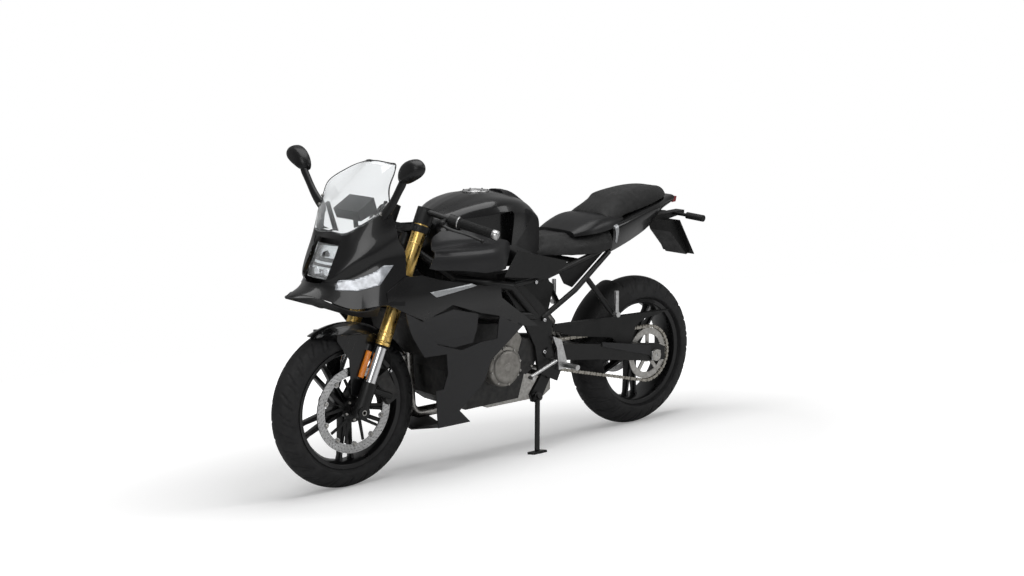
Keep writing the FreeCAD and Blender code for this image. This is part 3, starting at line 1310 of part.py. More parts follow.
def mirror_head():
    ball = Part.makeSphere(1)
    matrix = FreeCAD.Matrix()
    matrix.scale(MIRROR_HALF_DEPTH, MIRROR_HALF_WIDTH, MIRROR_HALF_HEIGHT)
    shell = ball.transformGeometry(matrix)
    shell.translate(body(MIRROR_CENTRE_SHARES))
    return shell


def mirrors(stay, nose, screen):
    """Two mirrors whose stalks stand on the stay through the cowl's upper edge."""
    points = [body(MIRROR_FOOT_SHARES), body(MIRROR_KNEE_SHARES), body(MIRROR_CENTRE_SHARES)]
    stalk = tube_run(points, MIRROR_STALK_RADIUS)
    whole = fused([stalk, mirror_head()]).cut(nose).cut(screen).cut(stay)
    return pair(largest(whole))


DASH_SHARES = ((0.925, 1.015), (0.935, 1.065), (0.985, 1.020), (0.975, 0.985))
DASH_HALF = 75.0


def instrument():
    return side_prism(DASH_SHARES, -DASH_HALF, DASH_HALF)


DAYLIGHT_SHARES = (
    (1.064, 0.793), (1.070, 0.758), (1.045, 0.768), (1.020, 0.785), (0.981, 0.848), (0.990, 0.848), (1.005, 0.828),
    (1.035, 0.800),
)
DAYLIGHT_STEP = 2.5


def daylight_lamps():
    """Lens strips that lie proud of the cowl's sides."""
    nose = nose_half()
    lens = trimmed(along_y(nose, V(DAYLIGHT_STEP, DAYLIGHT_STEP, 0)), DAYLIGHT_SHARES)
    return pair(largest(lens.cut(nose)))


# Tail furniture

HANGER_SHARES = ((-0.02, 0.866), (-0.20, 0.880), (-0.20, 0.866), (-0.135, 0.850), (-0.04, 0.850))
HANGER_HALF = 24.0
HOLDER_SHARES = ((-0.105, 0.850), (-0.132, 0.850), (-0.194, 0.700), (-0.185, 0.695), (-0.118, 0.800))
HOLDER_HALF = 60.0
PLATE_SHARES = ((-0.1325, 0.850), (-0.1950, 0.698), (-0.1975, 0.699), (-0.1350, 0.851))
PLATE_HALF = 90.0
SIGNAL_ROOT_SHARES = (-0.155, 0.08, 0.872)
SIGNAL_NECK_SHARES = (-0.160, 0.44, 0.868)
SIGNAL_TIP_SHARES = (-0.167, 0.72, 0.862)
SIGNAL_RADIUS = 14.0
SIGNAL_NECK_RADIUS = 7.0


def plate_hanger(tail, plate):
    bracket = side_prism(HANGER_SHARES, -HANGER_HALF, HANGER_HALF)
    holder = side_prism(HOLDER_SHARES, -HOLDER_HALF, HOLDER_HALF)
    return fused([bracket, holder]).cut(tail).cut(plate)


def number_plate():
    return side_prism(PLATE_SHARES, -PLATE_HALF, PLATE_HALF)


def turn_signals(hanger):
    root, neck, tip = (body(p) for p in (SIGNAL_ROOT_SHARES, SIGNAL_NECK_SHARES, SIGNAL_TIP_SHARES))
    root.y = HANGER_HALF + FIT
    stalk = rod(root, neck, SIGNAL_NECK_RADIUS)
    lamp = rod(neck - AXIS_Y * SIGNAL_RADIUS, tip, SIGNAL_RADIUS)
    return pair(fused([stalk, lamp]).cut(hanger))


TAIL_LAMP_SHARES = ((-0.128, 0.952), (-0.150, 0.946), (-0.146, 0.924), (-0.126, 0.922))
TAIL_LAMP_HALF = 48.0


def tail_lamp(tail):
    return side_prism(TAIL_LAMP_SHARES, -TAIL_LAMP_HALF, TAIL_LAMP_HALF).cut(tail)


# Foot controls and stand

PEG_ROOT_SHARES = (0.365, 0.0, 0.352)
PEG_RADIUS = 11.0
PEG_LENGTH = 88.0
PEG_BRACKET_SHARES = ((0.385, 0.420), (0.378, 0.332), (0.348, 0.332), (0.350, 0.365), (0.368, 0.450), (0.400, 0.470))
PASSENGER_PEG_LENGTH = 95.0
PASSENGER_PEG_RADIUS = 9.0


def rider_pegs():
    """The riders' foot rests on their heel plates."""
    plate = side_prism(PEG_BRACKET_SHARES, PIVOT_PLATE_Y + FIT, PIVOT_PLATE_Y + PLATE_THICKNESS)
    root = body(PEG_ROOT_SHARES) + AXIS_Y * PIVOT_PLATE_Y
    peg = rod(root + AXIS_Y * PLATE_THICKNESS / 2, root + AXIS_Y * (PLATE_THICKNESS + PEG_LENGTH), PEG_RADIUS)
    return pair(fused([plate, peg]))


def passenger_pegs():
    """The pillion foot rests, folded up against their hangers."""
    root = body(BRACE_SHARES[1]) + AXIS_Y * (SUBFRAME_TUBE_RADIUS + FIT)
    lug = rod(root, root + AXIS_Y * (2 * PEG_RADIUS), PEG_RADIUS)
    start = root + AXIS_Y * PEG_RADIUS
    peg = rod(start, start + AXIS_Z * PASSENGER_PEG_LENGTH, PASSENGER_PEG_RADIUS)
    return pair(fused([lug, peg]))


LEVER_PIVOT_SHARES = (0.396, 0.0, 0.373)
LEVER_TIP_SHARES = (0.497, 0.0, 0.331)
PEDAL_RADIUS = 7.0


def foot_levers():
    """The gear pedal on the left and the brake pedal on the right."""
    out = PIVOT_PLATE_Y + PLATE_THICKNESS + PEG_RADIUS
    pivot = body(LEVER_PIVOT_SHARES) + AXIS_Y * out
    tip = body(LEVER_TIP_SHARES) + AXIS_Y * (out + PLATE_THICKNESS)
    toe = tip + AXIS_Y * (PEG_RADIUS + PLATE_THICKNESS)
    arm = tube_run([pivot - AXIS_Y * (out - PIVOT_PLATE_Y - FIT), pivot, tip, toe], PEDAL_RADIUS)
    return pair(arm)


def stand_pivot():
    return body(STAND_PIVOT_SHARES)


def stand_foot_point():
    """Where the stand's foot meets the ground below the leaned machine."""
    lean = math.radians(LEAN)
    pivot = stand_pivot()
    y = pivot.y + STAND_REACH
    settle = REAR_TYRE_HALF_WIDTH * (1 - math.cos(lean))
    z = (y * math.sin(lean) - settle) / math.cos(lean)
    return V(pivot.x + STAND_FORWARD, y, z)


def stand_axis():
    """The hinge line that folds the leg from the ground to its place under the peg."""
    down = (stand_foot_point() - stand_pivot()).normalize()
    folded = V(*STAND_FOLD_SHARES).normalize()
    return down.cross(folded).normalize()


def stand_fold_angle():
    down = stand_foot_point() - stand_pivot()
    return math.degrees(down.getAngle(V(*STAND_FOLD_SHARES)))


def side_stand():
    """The stand's leg with its pivot eye and the foot that lies flat on the ground."""
    pivot = stand_pivot()
    axis = stand_axis()
    foot = stand_foot_point()
    lean = FreeCAD.Rotation(AXIS_X, LEAN)
    up = lean.multVec(AXIS_Z)
    leg = rod(pivot, foot + up * STAND_FOOT_THICKNESS, STAND_LEG_RADIUS)
    eye = Part.makeCylinder(STAND_EYE_RADIUS, 2 * STAND_EYE_HALF, pivot - axis * STAND_EYE_HALF, axis)
    pad = Part.makeBox(STAND_FOOT_LENGTH, STAND_FOOT_WIDTH, STAND_FOOT_THICKNESS)
    pad.translate(V(-STAND_FOOT_LENGTH / 2, -STAND_FOOT_WIDTH / 2, 0))
    pad.rotate(ORIGIN, AXIS_X, LEAN)
    pad.translate(foot)
    below = Part.makeBox(4 * STAND_FOOT_LENGTH, 4 * STAND_FOOT_LENGTH, STAND_FOOT_LENGTH)
    below.translate(V(-2 * STAND_FOOT_LENGTH, -2 * STAND_FOOT_LENGTH, -STAND_FOOT_LENGTH))
    below.rotate(ORIGIN, AXIS_X, LEAN)
    below.translate(foot)
    pin = Part.makeCylinder(STAND_PIN_RADIUS + FIT, 4 * STAND_EYE_HALF, pivot - axis * (2 * STAND_EYE_HALF), axis)
    return fused([leg, eye, pad]).cut(below).cut(pin)


STAND_PIN_RADIUS = 6.0
STAND_LUG_SHARES = ((0.462, 0.245), (0.455, 0.215), (0.425, 0.218), (0.392, 0.300), (0.420, 0.325))


def stand_bracket(frame):
    """The fork that carries the stand's pivot, bolted under the frame plate."""
    pivot = stand_pivot()
    axis = stand_axis()
    inner = PIVOT_PLATE_Y - PLATE_THICKNESS
    lug = side_prism(STAND_LUG_SHARES, inner - PLATE_THICKNESS, inner)
    clear = STAND_EYE_HALF + FIT
    room = Part.makeCylinder(STAND_EYE_RADIUS + RUNNING_GAP, 2 * clear, pivot - axis * clear, axis)
    inner_cheek = Part.makeCylinder(STAND_EYE_RADIUS, STAND_BRACKET_WALL, pivot - axis * clear, -axis)
    head = Part.makeCylinder(STAND_PIN_RADIUS + RIM_WALL, STAND_BRACKET_WALL, pivot + axis * clear, axis)
    reach = clear + STAND_BRACKET_WALL
    pin = Part.makeCylinder(STAND_PIN_RADIUS, 2 * reach, pivot - axis * reach, axis)
    return fused([lug.cut(room).cut(frame), inner_cheek, head, pin])


def chassis_pieces():
    frame = main_frame()
    rails = subframe(frame)
    arm = swingarm()
    axle = rear_axle()
    motor = engine(frame)
    tank = fuel_tank(frame)
    tail = tail_cowl(rails)
    nose = nose_cowl()
    plate = number_plate()
    hanger = plate_hanger(tail, plate)
    screen = windscreen(nose)
    dash = instrument()
    lamp = headlight(nose)
    stay = fairing_stay(frame, nose, screen, dash, lamp)
    upper = upper_fairing()
    lower = lower_fairing()
    return {
        "main_frame": frame,
        "subframe": rails,
        "swingarm": Part.makeCompound([arm, pivot_bolt()]),
        "rear_axle": axle,
        "rear_shock": rear_shock(frame, arm),
        "chain": Part.makeCompound([chain(), drive_sprocket()]),
        "chain_guard": chain_guard(arm),
        "rear_mudguard": rear_mudguard(arm),
        "rear_caliper": rear_caliper(axle),
        "engine": motor,
        "engine_covers": engine_covers(),
        "radiator": radiator(motor),
        "exhaust": exhaust(motor),
        "fuel_tank": tank,
        "tank_panels": tank_panels(tank),
        "rider_seat": rider_seat(rails),
        "pillion_seat": pillion_seat(tail),
        "tail_cowl": tail,
        "tail_lamp": tail_lamp(tail),
        "nose_cowl": nose,
        "headlight": lamp,
        "beak": beak(nose),
        "windscreen": screen,
        "instrument": dash,
        "daylight_lamps": daylight_lamps(),
        "upper_fairings": pair(upper),
        "lower_fairings": pair(lower),
        "fairing_vanes": pair(fairing_vane(upper, lower)),
        "belly_pan": belly_pan(lower),
        "mirrors": mirrors(stay, nose, screen),
        "fairing_stay": stay,
        "plate_hanger": hanger,
        "number_plate": plate,
        "turn_signals": turn_signals(hanger),
        "rider_pegs": rider_pegs(),
        "passenger_pegs": passenger_pegs(),
        "foot_levers": foot_levers(),
        "stand_bracket": stand_bracket(frame),
    }


def all_pieces():
    pieces = chassis_pieces()
    pieces.update(steering_pieces())
    pieces.update(front_wheel_pieces())
    pieces.update(rear_wheel_pieces())
    pieces["side_stand"] = side_stand()
    pieces["fuel_cap"] = fuel_cap()
    return pieces


# Parking lean

def settling():
    """How far each crown's centre line comes down as the machine leans."""
    fall = 1 - math.cos(math.radians(LEAN))
    return FRONT_TYRE_HALF_WIDTH * fall, REAR_TYRE_HALF_WIDTH * fall


def parking_placement():
    """Lean to the left about the ground line, with both tyres left on the ground."""
    front_rise, rear_rise = settling()
    pitch = math.degrees(math.atan2(rear_rise - front_rise, WHEELBASE))
    lean = FreeCAD.Rotation(AXIS_X, -LEAN)
    level = FreeCAD.Rotation(AXIS_Y, pitch)
    return FreeCAD.Placement(V(0, 0, rear_rise), level.multiply(lean))


def row_placement(pieces):
    """The parked placement, moved so that the origin is under the middle of the bounding box."""
    parked = parking_placement()
    box = FreeCAD.BoundBox()
    for shape in pieces.values():
        moved = shape.copy()
        moved.Placement = parked.multiply(moved.Placement)
        box.add(moved.optimalBoundingBox(False))
    shift = V(-(box.XMin + box.XMax) / 2, -(box.YMin + box.YMax) / 2, -box.ZMin)
    return FreeCAD.Placement(parked.Base + shift, parked.Rotation)


def main():
    os.makedirs("parts", exist_ok=True)
    pieces = all_pieces()
    place = row_placement(pieces)
    for name, shape in pieces.items():
        placed = shape.copy()
        placed.Placement = place.multiply(placed.Placement)
        placed.exportStep("parts/" + name + ".step")
        solids = len(placed.Solids)
        print(name, "solids", solids, "valid", placed.isValid(), "volume", round(placed.Volume))


if __name__ == "__main__":
    main()
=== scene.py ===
# %% [markdown]
# # Dressing a sport motorcycle
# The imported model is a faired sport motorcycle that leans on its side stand.
# Its solids are right in size and place but plain. This lesson draws the panels,
# seats, rims and lamps anew where the photograph shows more, adds tread, drilled
# discs, a chain with links, screws and hoses, and gives every surface a finish.
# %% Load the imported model
import json
import math
import bpy
import bmesh
from mathutils import Matrix, Vector
from mathutils.bvhtree import BVHTree
from mathutils.geometry import delaunay_2d_cdt


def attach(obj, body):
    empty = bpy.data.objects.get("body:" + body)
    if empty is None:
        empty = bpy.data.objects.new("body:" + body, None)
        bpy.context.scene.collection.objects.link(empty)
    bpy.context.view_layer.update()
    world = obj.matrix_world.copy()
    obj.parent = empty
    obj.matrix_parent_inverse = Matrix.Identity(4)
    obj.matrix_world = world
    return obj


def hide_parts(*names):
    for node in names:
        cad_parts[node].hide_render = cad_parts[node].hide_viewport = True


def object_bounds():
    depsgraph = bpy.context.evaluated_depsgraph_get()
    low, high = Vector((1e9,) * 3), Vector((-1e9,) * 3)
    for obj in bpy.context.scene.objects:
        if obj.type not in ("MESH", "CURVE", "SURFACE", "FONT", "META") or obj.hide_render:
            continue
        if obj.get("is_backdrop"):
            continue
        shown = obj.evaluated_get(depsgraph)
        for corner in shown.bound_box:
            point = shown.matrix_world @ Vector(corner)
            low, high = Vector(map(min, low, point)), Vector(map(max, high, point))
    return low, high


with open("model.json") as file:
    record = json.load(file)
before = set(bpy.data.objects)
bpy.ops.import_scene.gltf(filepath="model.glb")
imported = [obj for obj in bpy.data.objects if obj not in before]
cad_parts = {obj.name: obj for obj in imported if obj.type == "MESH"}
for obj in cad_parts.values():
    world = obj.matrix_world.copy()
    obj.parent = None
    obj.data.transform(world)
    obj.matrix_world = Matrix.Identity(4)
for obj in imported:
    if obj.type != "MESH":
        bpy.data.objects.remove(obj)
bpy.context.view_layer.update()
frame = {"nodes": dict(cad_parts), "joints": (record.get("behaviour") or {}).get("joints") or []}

nodes = frame["nodes"]

# %% [markdown]
# ## The machine's own axes
# The motorcycle leans to its left, so world axes are awkward for building on it.
# Its two wheel joints say where it is: both spin axes point to the rider's left, and
# the line between the axles runs forward. From them we make one matrix that takes
# a point of the upright machine, X forward, Y left and Z up from the ground under
# the rear axle, to its parked place. Every new piece is drawn upright.
# %% Find the machine's own axes
REAR_RADIUS = 0.312
FRONT_RADIUS = 0.300
WHEELBASE = 1.460

joints = {joint["name"]: joint for joint in frame["joints"]}
rear_axle = Vector(joints["rear_wheel"]["pos_m"])
front_axle = Vector(joints["front_wheel"]["pos_m"])
left = Vector(joints["rear_wheel"]["axis"]).normalized()
run = (front_axle - rear_axle).normalized()
slope = math.atan2(FRONT_RADIUS - REAR_RADIUS, WHEELBASE)
over = run.cross(left)
forward = run * math.cos(slope) - over * math.sin(slope)
up = run * math.sin(slope) + over * math.cos(slope)
ground = rear_axle - up * REAR_RADIUS
machine = Matrix((forward, left, up)).transposed().to_4x4()
machine.translation = ground

steer_axis = Vector(joints["steering"]["axis"]).normalized()
rake = math.asin(-steer_axis.dot(forward))
front_centre = Vector((WHEELBASE, 0, FRONT_RADIUS))
rear_centre = Vector((0, 0, REAR_RADIUS))
print("lean", round(math.degrees(math.asin(up.y)), 2), "rake", round(math.degrees(rake), 2))


def fork_place(ahead, side, along):
    """A point on the fork, measured from the front axle along its legs."""
    x = WHEELBASE + ahead * math.cos(rake) - along * math.sin(rake)
    z = FRONT_RADIUS + ahead * math.sin(rake) + along * math.cos(rake)
    return Vector((x, side, z))


# %% [markdown]
# ## Small helpers for new pieces
# A piece is a mesh drawn in the machine's axes. Its object carries the parked
# matrix, so its own coordinates stay upright and a grain can follow them. The
# helper links it, shades it and lets it ride on the body that carries it.
# %% Make a piece from points and faces
def piece(name, points, faces, body, finish, smooth=True):
    mesh = bpy.data.meshes.new(name)
    mesh.from_pydata([tuple(p) for p in points], [], faces)
    mesh.update()
    return settle(bpy.data.objects.new(name, mesh), body, finish, smooth)


def settle(thing, body, finish, smooth=True):
    """Link a new object, park it, give it its finish and let it ride."""
    bpy.context.scene.collection.objects.link(thing)
    thing.matrix_world = machine
    thing.data.materials.append(finish)
    if smooth:
        thing.data.shade_smooth()
    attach(thing, body)
    return thing


def joined(parts):
    """Several (points, faces) in one pair of lists."""
    points, faces = [], []
    for more_points, more_faces in parts:
        start = len(points)
        points.extend(more_points)
        faces.extend([tuple(i + start for i in face) for face in more_faces])
    return points, faces


def frame_along(direction):
    """Two directions that are square to the given one."""
    axis = Vector(direction).normalized()
    guess = Vector((0, 0, 1)) if abs(axis.z) < 0.9 else Vector((1, 0, 0))
    side = guess.cross(axis).normalized()
    return side, axis.cross(side)


def turned_faces(steps, count, closed=False):
    """Faces between equal profiles that stand in a full circle."""
    faces = []
    for step in range(steps):
        here, ahead = step * count, (step + 1) % steps * count
        for i in range(count if closed else count - 1):
            j = (i + 1) % count
            faces.append((here + i, ahead + i, ahead + j, here + j))
    return faces


def lathe(profile, origin, direction, steps=32, phase=0.0):
    """Turn a closed or open profile of (distance, radius) pairs about an axis."""
    axis = Vector(direction).normalized()
    side, high = frame_along(axis)
    points = []
    for step in range(steps):
        angle = math.tau * step / steps + phase
        spoke = side * math.cos(angle) + high * math.sin(angle)
        points.extend([Vector(origin) + axis * d + spoke * r for d, r in profile])
    return points, turned_faces(steps, len(profile))


def stacked(rings):
    """Closed rings of equal counts joined one to the next, with end faces."""
    count = len(rings[0])
    points = [p for ring in rings for p in ring]
    faces = []
    for row in range(len(rings) - 1):
        for i in range(count):
            a, b = row * count + i, row * count + (i + 1) % count
            faces.append((a, b, b + count, a + count))
    faces.append(tuple(reversed(range(count))))
    last = (len(rings) - 1) * count
    faces.append(tuple(range(last, last + count)))
    return points, faces


def pipe(path, radius, sides=10):
    """A round tube along a list of points, with flat ends."""
    path = [Vector(p) for p in path]
    rings = []
    side = None
    for i, place in enumerate(path):
        ahead = (path[min(i + 1, len(path) - 1)] - path[max(i - 1, 0)]).normalized()
        if side is None:
            side = frame_along(ahead)[0]
        side = (side - ahead * side.dot(ahead)).normalized()
        high = ahead.cross(side)
        turns = [math.tau * k / sides for k in range(sides)]
        rings.append([place + (side * math.cos(a) + high * math.sin(a)) * radius for a in turns])
    return stacked(rings)


def smooth_path(places, steps=8):
    """Points on a curve that passes through the given places."""
    places = [Vector(p) for p in places]
    ends = [places[0] * 2 - places[1]] + places + [places[-1] * 2 - places[-2]]
    path = []
    for i in range(1, len(ends) - 2):
        a, b, c, d = ends[i - 1:i + 3]
        for k in range(steps):
            t = k / steps
            path.append(0.5 * ((2 * b) + (c - a) * t + (2 * a - 5 * b + 4 * c - d) * t * t
                               + (3 * b - a - 3 * c + d) * t ** 3))
    path.append(places[-1])
    return path


# %% [markdown]
# ## Finishes
# One shader, Principled, does every finish here. A value that is the same all over
# stays on the shader's own socket. What varies comes from noise: a colour between
# two tones, a mottled roughness, so that reflections break up a little, and a fine
# bump for the grain. One function makes a finish from these parts.
# %% Build finishes from one shader
def node(tree, kind, inputs=None, **settings):
    """A shader node. An input takes a value or another node's output."""
    made = tree.nodes.new("ShaderNode" + kind)
    for setting, value in settings.items():
        setattr(made, setting, value)
    for socket, value in (inputs or {}).items():
        if isinstance(value, bpy.types.NodeSocket):
            tree.links.new(value, made.inputs[socket])
        else:
            made.inputs[socket].default_value = value
    return made


def place_of(tree, stretch=(1, 1, 1)):
    """Object coordinates, stretched for brushed or drawn surfaces."""
    source = node(tree, "TexCoord").outputs["Object"]
    return node(tree, "Mapping", {"Scale": stretch, "Vector": source}).outputs["Vector"]


def noise_of(tree, scale, detail=3.0, stretch=(1, 1, 1)):
    """Even noise in the piece's own coordinates."""
    inputs = {"Scale": scale, "Detail": detail, "Vector": place_of(tree, stretch)}
    return node(tree, "TexNoise", inputs).outputs["Fac"]


def mottle(tree, low, high, scale, detail=3.0, stretch=(1, 1, 1)):
    """Let the roughness wander between two values."""
    spread = node(tree, "MapRange", {"From Min": 0.3, "From Max": 0.7, "To Min": low, "To Max": high,
                                     "Value": noise_of(tree, scale, detail, stretch)})
    return spread.outputs["Result"]


def tint(tree, first, second, scale, detail=4.0, stretch=(1, 1, 1)):
    """Let the colour wander between two tones."""
    ramp = node(tree, "ValToRGB", {"Fac": noise_of(tree, scale, detail, stretch)})
    for stop, tone, position in zip(ramp.color_ramp.elements, (first, second), (0.35, 0.65)):
        stop.color = (*tone, 1)
        stop.position = position
    return ramp.outputs["Color"]


def grain(tree, scale, depth, strength=0.5, detail=2.0, stretch=(1, 1, 1), cells=False):
    """A fine bump. Depth is in metres; cells give a pebbled, moulded look."""
    if cells:
        cell_inputs = {"Scale": scale, "Vector": place_of(tree, stretch)}
        height = node(tree, "TexVoronoi", cell_inputs).outputs["Distance"]
    else:
        height = noise_of(tree, scale, detail, stretch)
    bump = node(tree, "Bump", {"Strength": strength, "Distance": depth, "Height": height})
    return bump.outputs["Normal"]


def finish(name, colour, roughness=0.5, metallic=0.0, tones=None, rough=None, bump=None,
           cells=False, **sockets):
    """A finish: even values, then a wandering colour, roughness and grain."""
    material = bpy.data.materials.new(name)
    material.use_nodes = True
    tree = material.node_tree
    shader = tree.nodes["Principled BSDF"]
    shader.inputs["Base Color"].default_value = (*colour, 1)
    shader.inputs["Roughness"].default_value = roughness
    shader.inputs["Metallic"].default_value = metallic
    for socket, value in sockets.items():
        shader.inputs[socket.replace("_", " ")].default_value = value
    if tones:
        tree.links.new(tint(tree, *tones), shader.inputs["Base Color"])
    if rough:
        tree.links.new(mottle(tree, *rough), shader.inputs["Roughness"])
    if bump:
        tree.links.new(grain(tree, *bump, cells=cells), shader.inputs["Normal"])
    return material


print("finish helpers ready")

# %% [markdown]
# ## Painted bodywork
# The bodywork is black in two finishes: a deep gloss under clear lacquer, and a
# graphite one with fine flakes that looks dark grey where light falls on it. The
# coat gives the lacquer's sharp reflection over a softer base. A very shallow
# ripple keeps large panels from looking like glass.
# %% Paints
gloss_black = finish("gloss_black", (0.0035, 0.0035, 0.0038), 0.30, Specular_IOR_Level=0.22,
                     Coat_Weight=0.35, Coat_Roughness=0.05, rough=(0.24, 0.36, 9),
                     bump=(260, 0.0004, 0.06))

graphite = finish("graphite", (0.012, 0.012, 0.013), 0.38, 0.3, Specular_IOR_Level=0.30,
                  Coat_Weight=0.2, Coat_Roughness=0.14,
                  tones=((0.009, 0.009, 0.0098), (0.015, 0.015, 0.0162), 1400, 2),
                  rough=(0.34, 0.44, 12), bump=(900, 0.0002, 0.10))

frame_black = finish("frame_black", (0.006, 0.006, 0.006), 0.42, 0.0, Specular_IOR_Level=0.30,
                     rough=(0.36, 0.50, 40), bump=(420, 0.0004, 0.16))

wheel_black = finish("wheel_black", (0.004, 0.004, 0.0043), 0.32, Specular_IOR_Level=0.30,
                     Coat_Weight=0.25, Coat_Roughness=0.10, rough=(0.26, 0.38, 30),
                     bump=(500, 0.0003, 0.08))
print("paints", [m.name for m in (gloss_black, graphite, frame_black, wheel_black)])

# %% [markdown]
# ## Plastics and rubber
# Mudguards, mirrors, covers and switches are moulded in black with a fine pebble
# grain. Rubber is darker in its reflection and a little dusty, and the seat cover
# is a grained vinyl.
# %% Plastics, rubber and seat cover
moulded = finish("moulded_black", (0.007, 0.007, 0.007), 0.52, Specular_IOR_Level=0.28,
                 rough=(0.46, 0.60, 25), bump=(1100, 0.0006, 0.22), cells=True)

satin_plastic = finish("satin_plastic", (0.006, 0.006, 0.0064), 0.36, Specular_IOR_Level=0.30,
                       rough=(0.30, 0.42, 18), bump=(700, 0.0003, 0.12))

rubber = finish("grip_rubber", (0.008, 0.008, 0.008), 0.72, Specular_IOR_Level=0.25,
                rough=(0.62, 0.80, 60), bump=(380, 0.0008, 0.45), cells=True)

tyre_rubber = finish("tyre_rubber", (0.012, 0.012, 0.0125), 0.66, Specular_IOR_Level=0.30,
                     tones=((0.009, 0.009, 0.0094), (0.015, 0.015, 0.0156), 26, 6),
                     rough=(0.58, 0.76, 45), bump=(900, 0.0004, 0.25))

seat_vinyl = finish("seat_vinyl", (0.005, 0.005, 0.005), 0.60, Specular_IOR_Level=0.25,
                    Sheen_Weight=0.06, Sheen_Roughness=0.5,
                    tones=((0.008, 0.008, 0.008), (0.013, 0.013, 0.013), 60),
                    rough=(0.52, 0.68, 35), bump=(620, 0.0010, 0.50), cells=True)
print("plastics and rubber ready")

# %% [markdown]
# ## Metals
# The outer fork tubes are anodised gold, which is a coloured metal with a fine
# drawn grain. Cast covers are grey and slightly rough, steel parts are drawn or
# machined, and plating is nearly a mirror.
# %% Metals
gold = finish("gold_anodised", (0.70, 0.42, 0.095), 0.30, 1.0,
              tones=((0.74, 0.48, 0.13), (0.90, 0.64, 0.24), 60, 3, (1, 1, 0.15)),
              rough=(0.24, 0.36, 240, 2, (1, 1, 0.05)), bump=(900, 0.0002, 0.12, 2, (1, 1, 0.1)))

steel = finish("drawn_steel", (0.42, 0.41, 0.39), 0.34, 1.0,
               tones=((0.34, 0.33, 0.31), (0.48, 0.47, 0.45), 80), rough=(0.26, 0.42, 120),
               bump=(800, 0.0003, 0.15))

plated = finish("plated_steel", (0.62, 0.62, 0.63), 0.14, 1.0,
                rough=(0.10, 0.20, 90, 3, (1, 1, 0.1)), bump=(500, 0.0002, 0.05))

cast_grey = finish("cast_grey", (0.24, 0.23, 0.215), 0.50, 0.85,
                   tones=((0.20, 0.19, 0.175), (0.29, 0.28, 0.26), 45, 5), rough=(0.42, 0.60, 80),
                   bump=(650, 0.0006, 0.35))

cast_black = finish("cast_black", (0.018, 0.018, 0.018), 0.50, 0.3,
                    tones=((0.012, 0.012, 0.012), (0.028, 0.027, 0.026), 40, 5),
                    rough=(0.42, 0.62, 70), bump=(600, 0.0006, 0.35))

chain_steel = finish("chain_steel", (0.36, 0.34, 0.30), 0.36, 1.0,
                     tones=((0.28, 0.26, 0.22), (0.44, 0.42, 0.38), 160), rough=(0.28, 0.46, 200),
                     bump=(700, 0.0003, 0.2))

disc_steel = finish("disc_steel", (0.50, 0.50, 0.50), 0.30, 1.0,
                    tones=((0.42, 0.42, 0.42), (0.56, 0.56, 0.56), 30, 6),
                    rough=(0.22, 0.40, 240, 2), bump=(900, 0.0002, 0.2))

bare_alloy = finish("bare_alloy", (0.50, 0.50, 0.50), 0.32, 1.0,
                    tones=((0.44, 0.44, 0.44), (0.56, 0.56, 0.56), 90), rough=(0.26, 0.42, 110),
                    bump=(700, 0.0003, 0.18))
print("metals ready")

# %% [markdown]
# ## Clear and coloured lenses
# The windscreen is clear with a faint smoke, lamps are clear covers, and the
# reflectors and tail lamp are coloured right through. Transmission lets light
# pass; a thin, even noise in the roughness keeps them from looking computed.
# %% Lenses and glass
screen_clear = finish("screen_clear", (0.86, 0.88, 0.89), 0.04, Transmission_Weight=0.96, IOR=1.30,
                      rough=(0.02, 0.06, 6))
lens_clear = finish("lens_clear", (0.93, 0.95, 0.96), 0.05, Transmission_Weight=0.92, IOR=1.40,
                    rough=(0.03, 0.10, 14))
amber = finish("amber_lens", (0.90, 0.26, 0.012), 0.22, Coat_Weight=0.6, Coat_Roughness=0.06,
               bump=(420, 0.0006, 0.5), cells=True)
tail_red = finish("tail_red", (0.20, 0.006, 0.008), 0.24, Coat_Weight=0.6, Coat_Roughness=0.05,
                  bump=(420, 0.0006, 0.5), cells=True)
mirror_glass = finish("mirror_glass", (0.80, 0.82, 0.84), 0.04, 1.0, rough=(0.02, 0.07, 30))
print("lenses ready")

# %% [markdown]
# ## Finishes on the solids
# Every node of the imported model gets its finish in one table, so that a reader can
# see at a glance what is made of what. Some of them are replaced further down.
# %% Give every solid its finish
finishes = {
    gloss_black: ["fuel_tank", "nose_cowl", "tail_cowl", "upper_fairings", "front_mudguard"],
    graphite: ["tank_panels", "lower_fairings", "belly_pan", "fairing_vanes"],
    frame_black: ["main_frame", "subframe", "swingarm", "triple_clamps", "handlebars", "fork_feet",
                  "fairing_stay", "stand_bracket", "side_stand", "hand_levers"],
    wheel_black: ["front_rim", "rear_rim"],
    moulded: ["rear_mudguard", "chain_guard", "plate_hanger", "number_plate", "switch_pods", "beak",
              "instrument", "turn_signals"],
    satin_plastic: ["mirrors"],
    rubber: ["grips"],
    tyre_rubber: ["front_tyre", "rear_tyre"],
    seat_vinyl: ["rider_seat", "pillion_seat"],
    gold: ["fork_uppers"],
    plated: ["fork_steels"],
    steel: ["chain", "rear_sprocket", "front_disc", "rear_disc", "exhaust", "rear_axle", "front_axle",
            "rear_shock"],
    cast_grey: ["engine_covers"],
    cast_black: ["engine", "radiator", "front_caliper", "rear_caliper"],
    bare_alloy: ["rider_pegs", "passenger_pegs", "foot_levers", "fuel_cap"],
    screen_clear: ["windscreen"],
    lens_clear: ["headlight", "daylight_lamps"],
    amber: ["fork_reflectors"],
    tail_red: ["tail_lamp"],
}
for material, names in finishes.items():
    for name in names:
        thing = nodes[name]
        thing.data.materials.clear()
        thing.data.materials.append(material)
        for polygon in thing.data.polygons:
            polygon.material_index = 0
print("finished solids", sum(len(names) for names in finishes.values()))

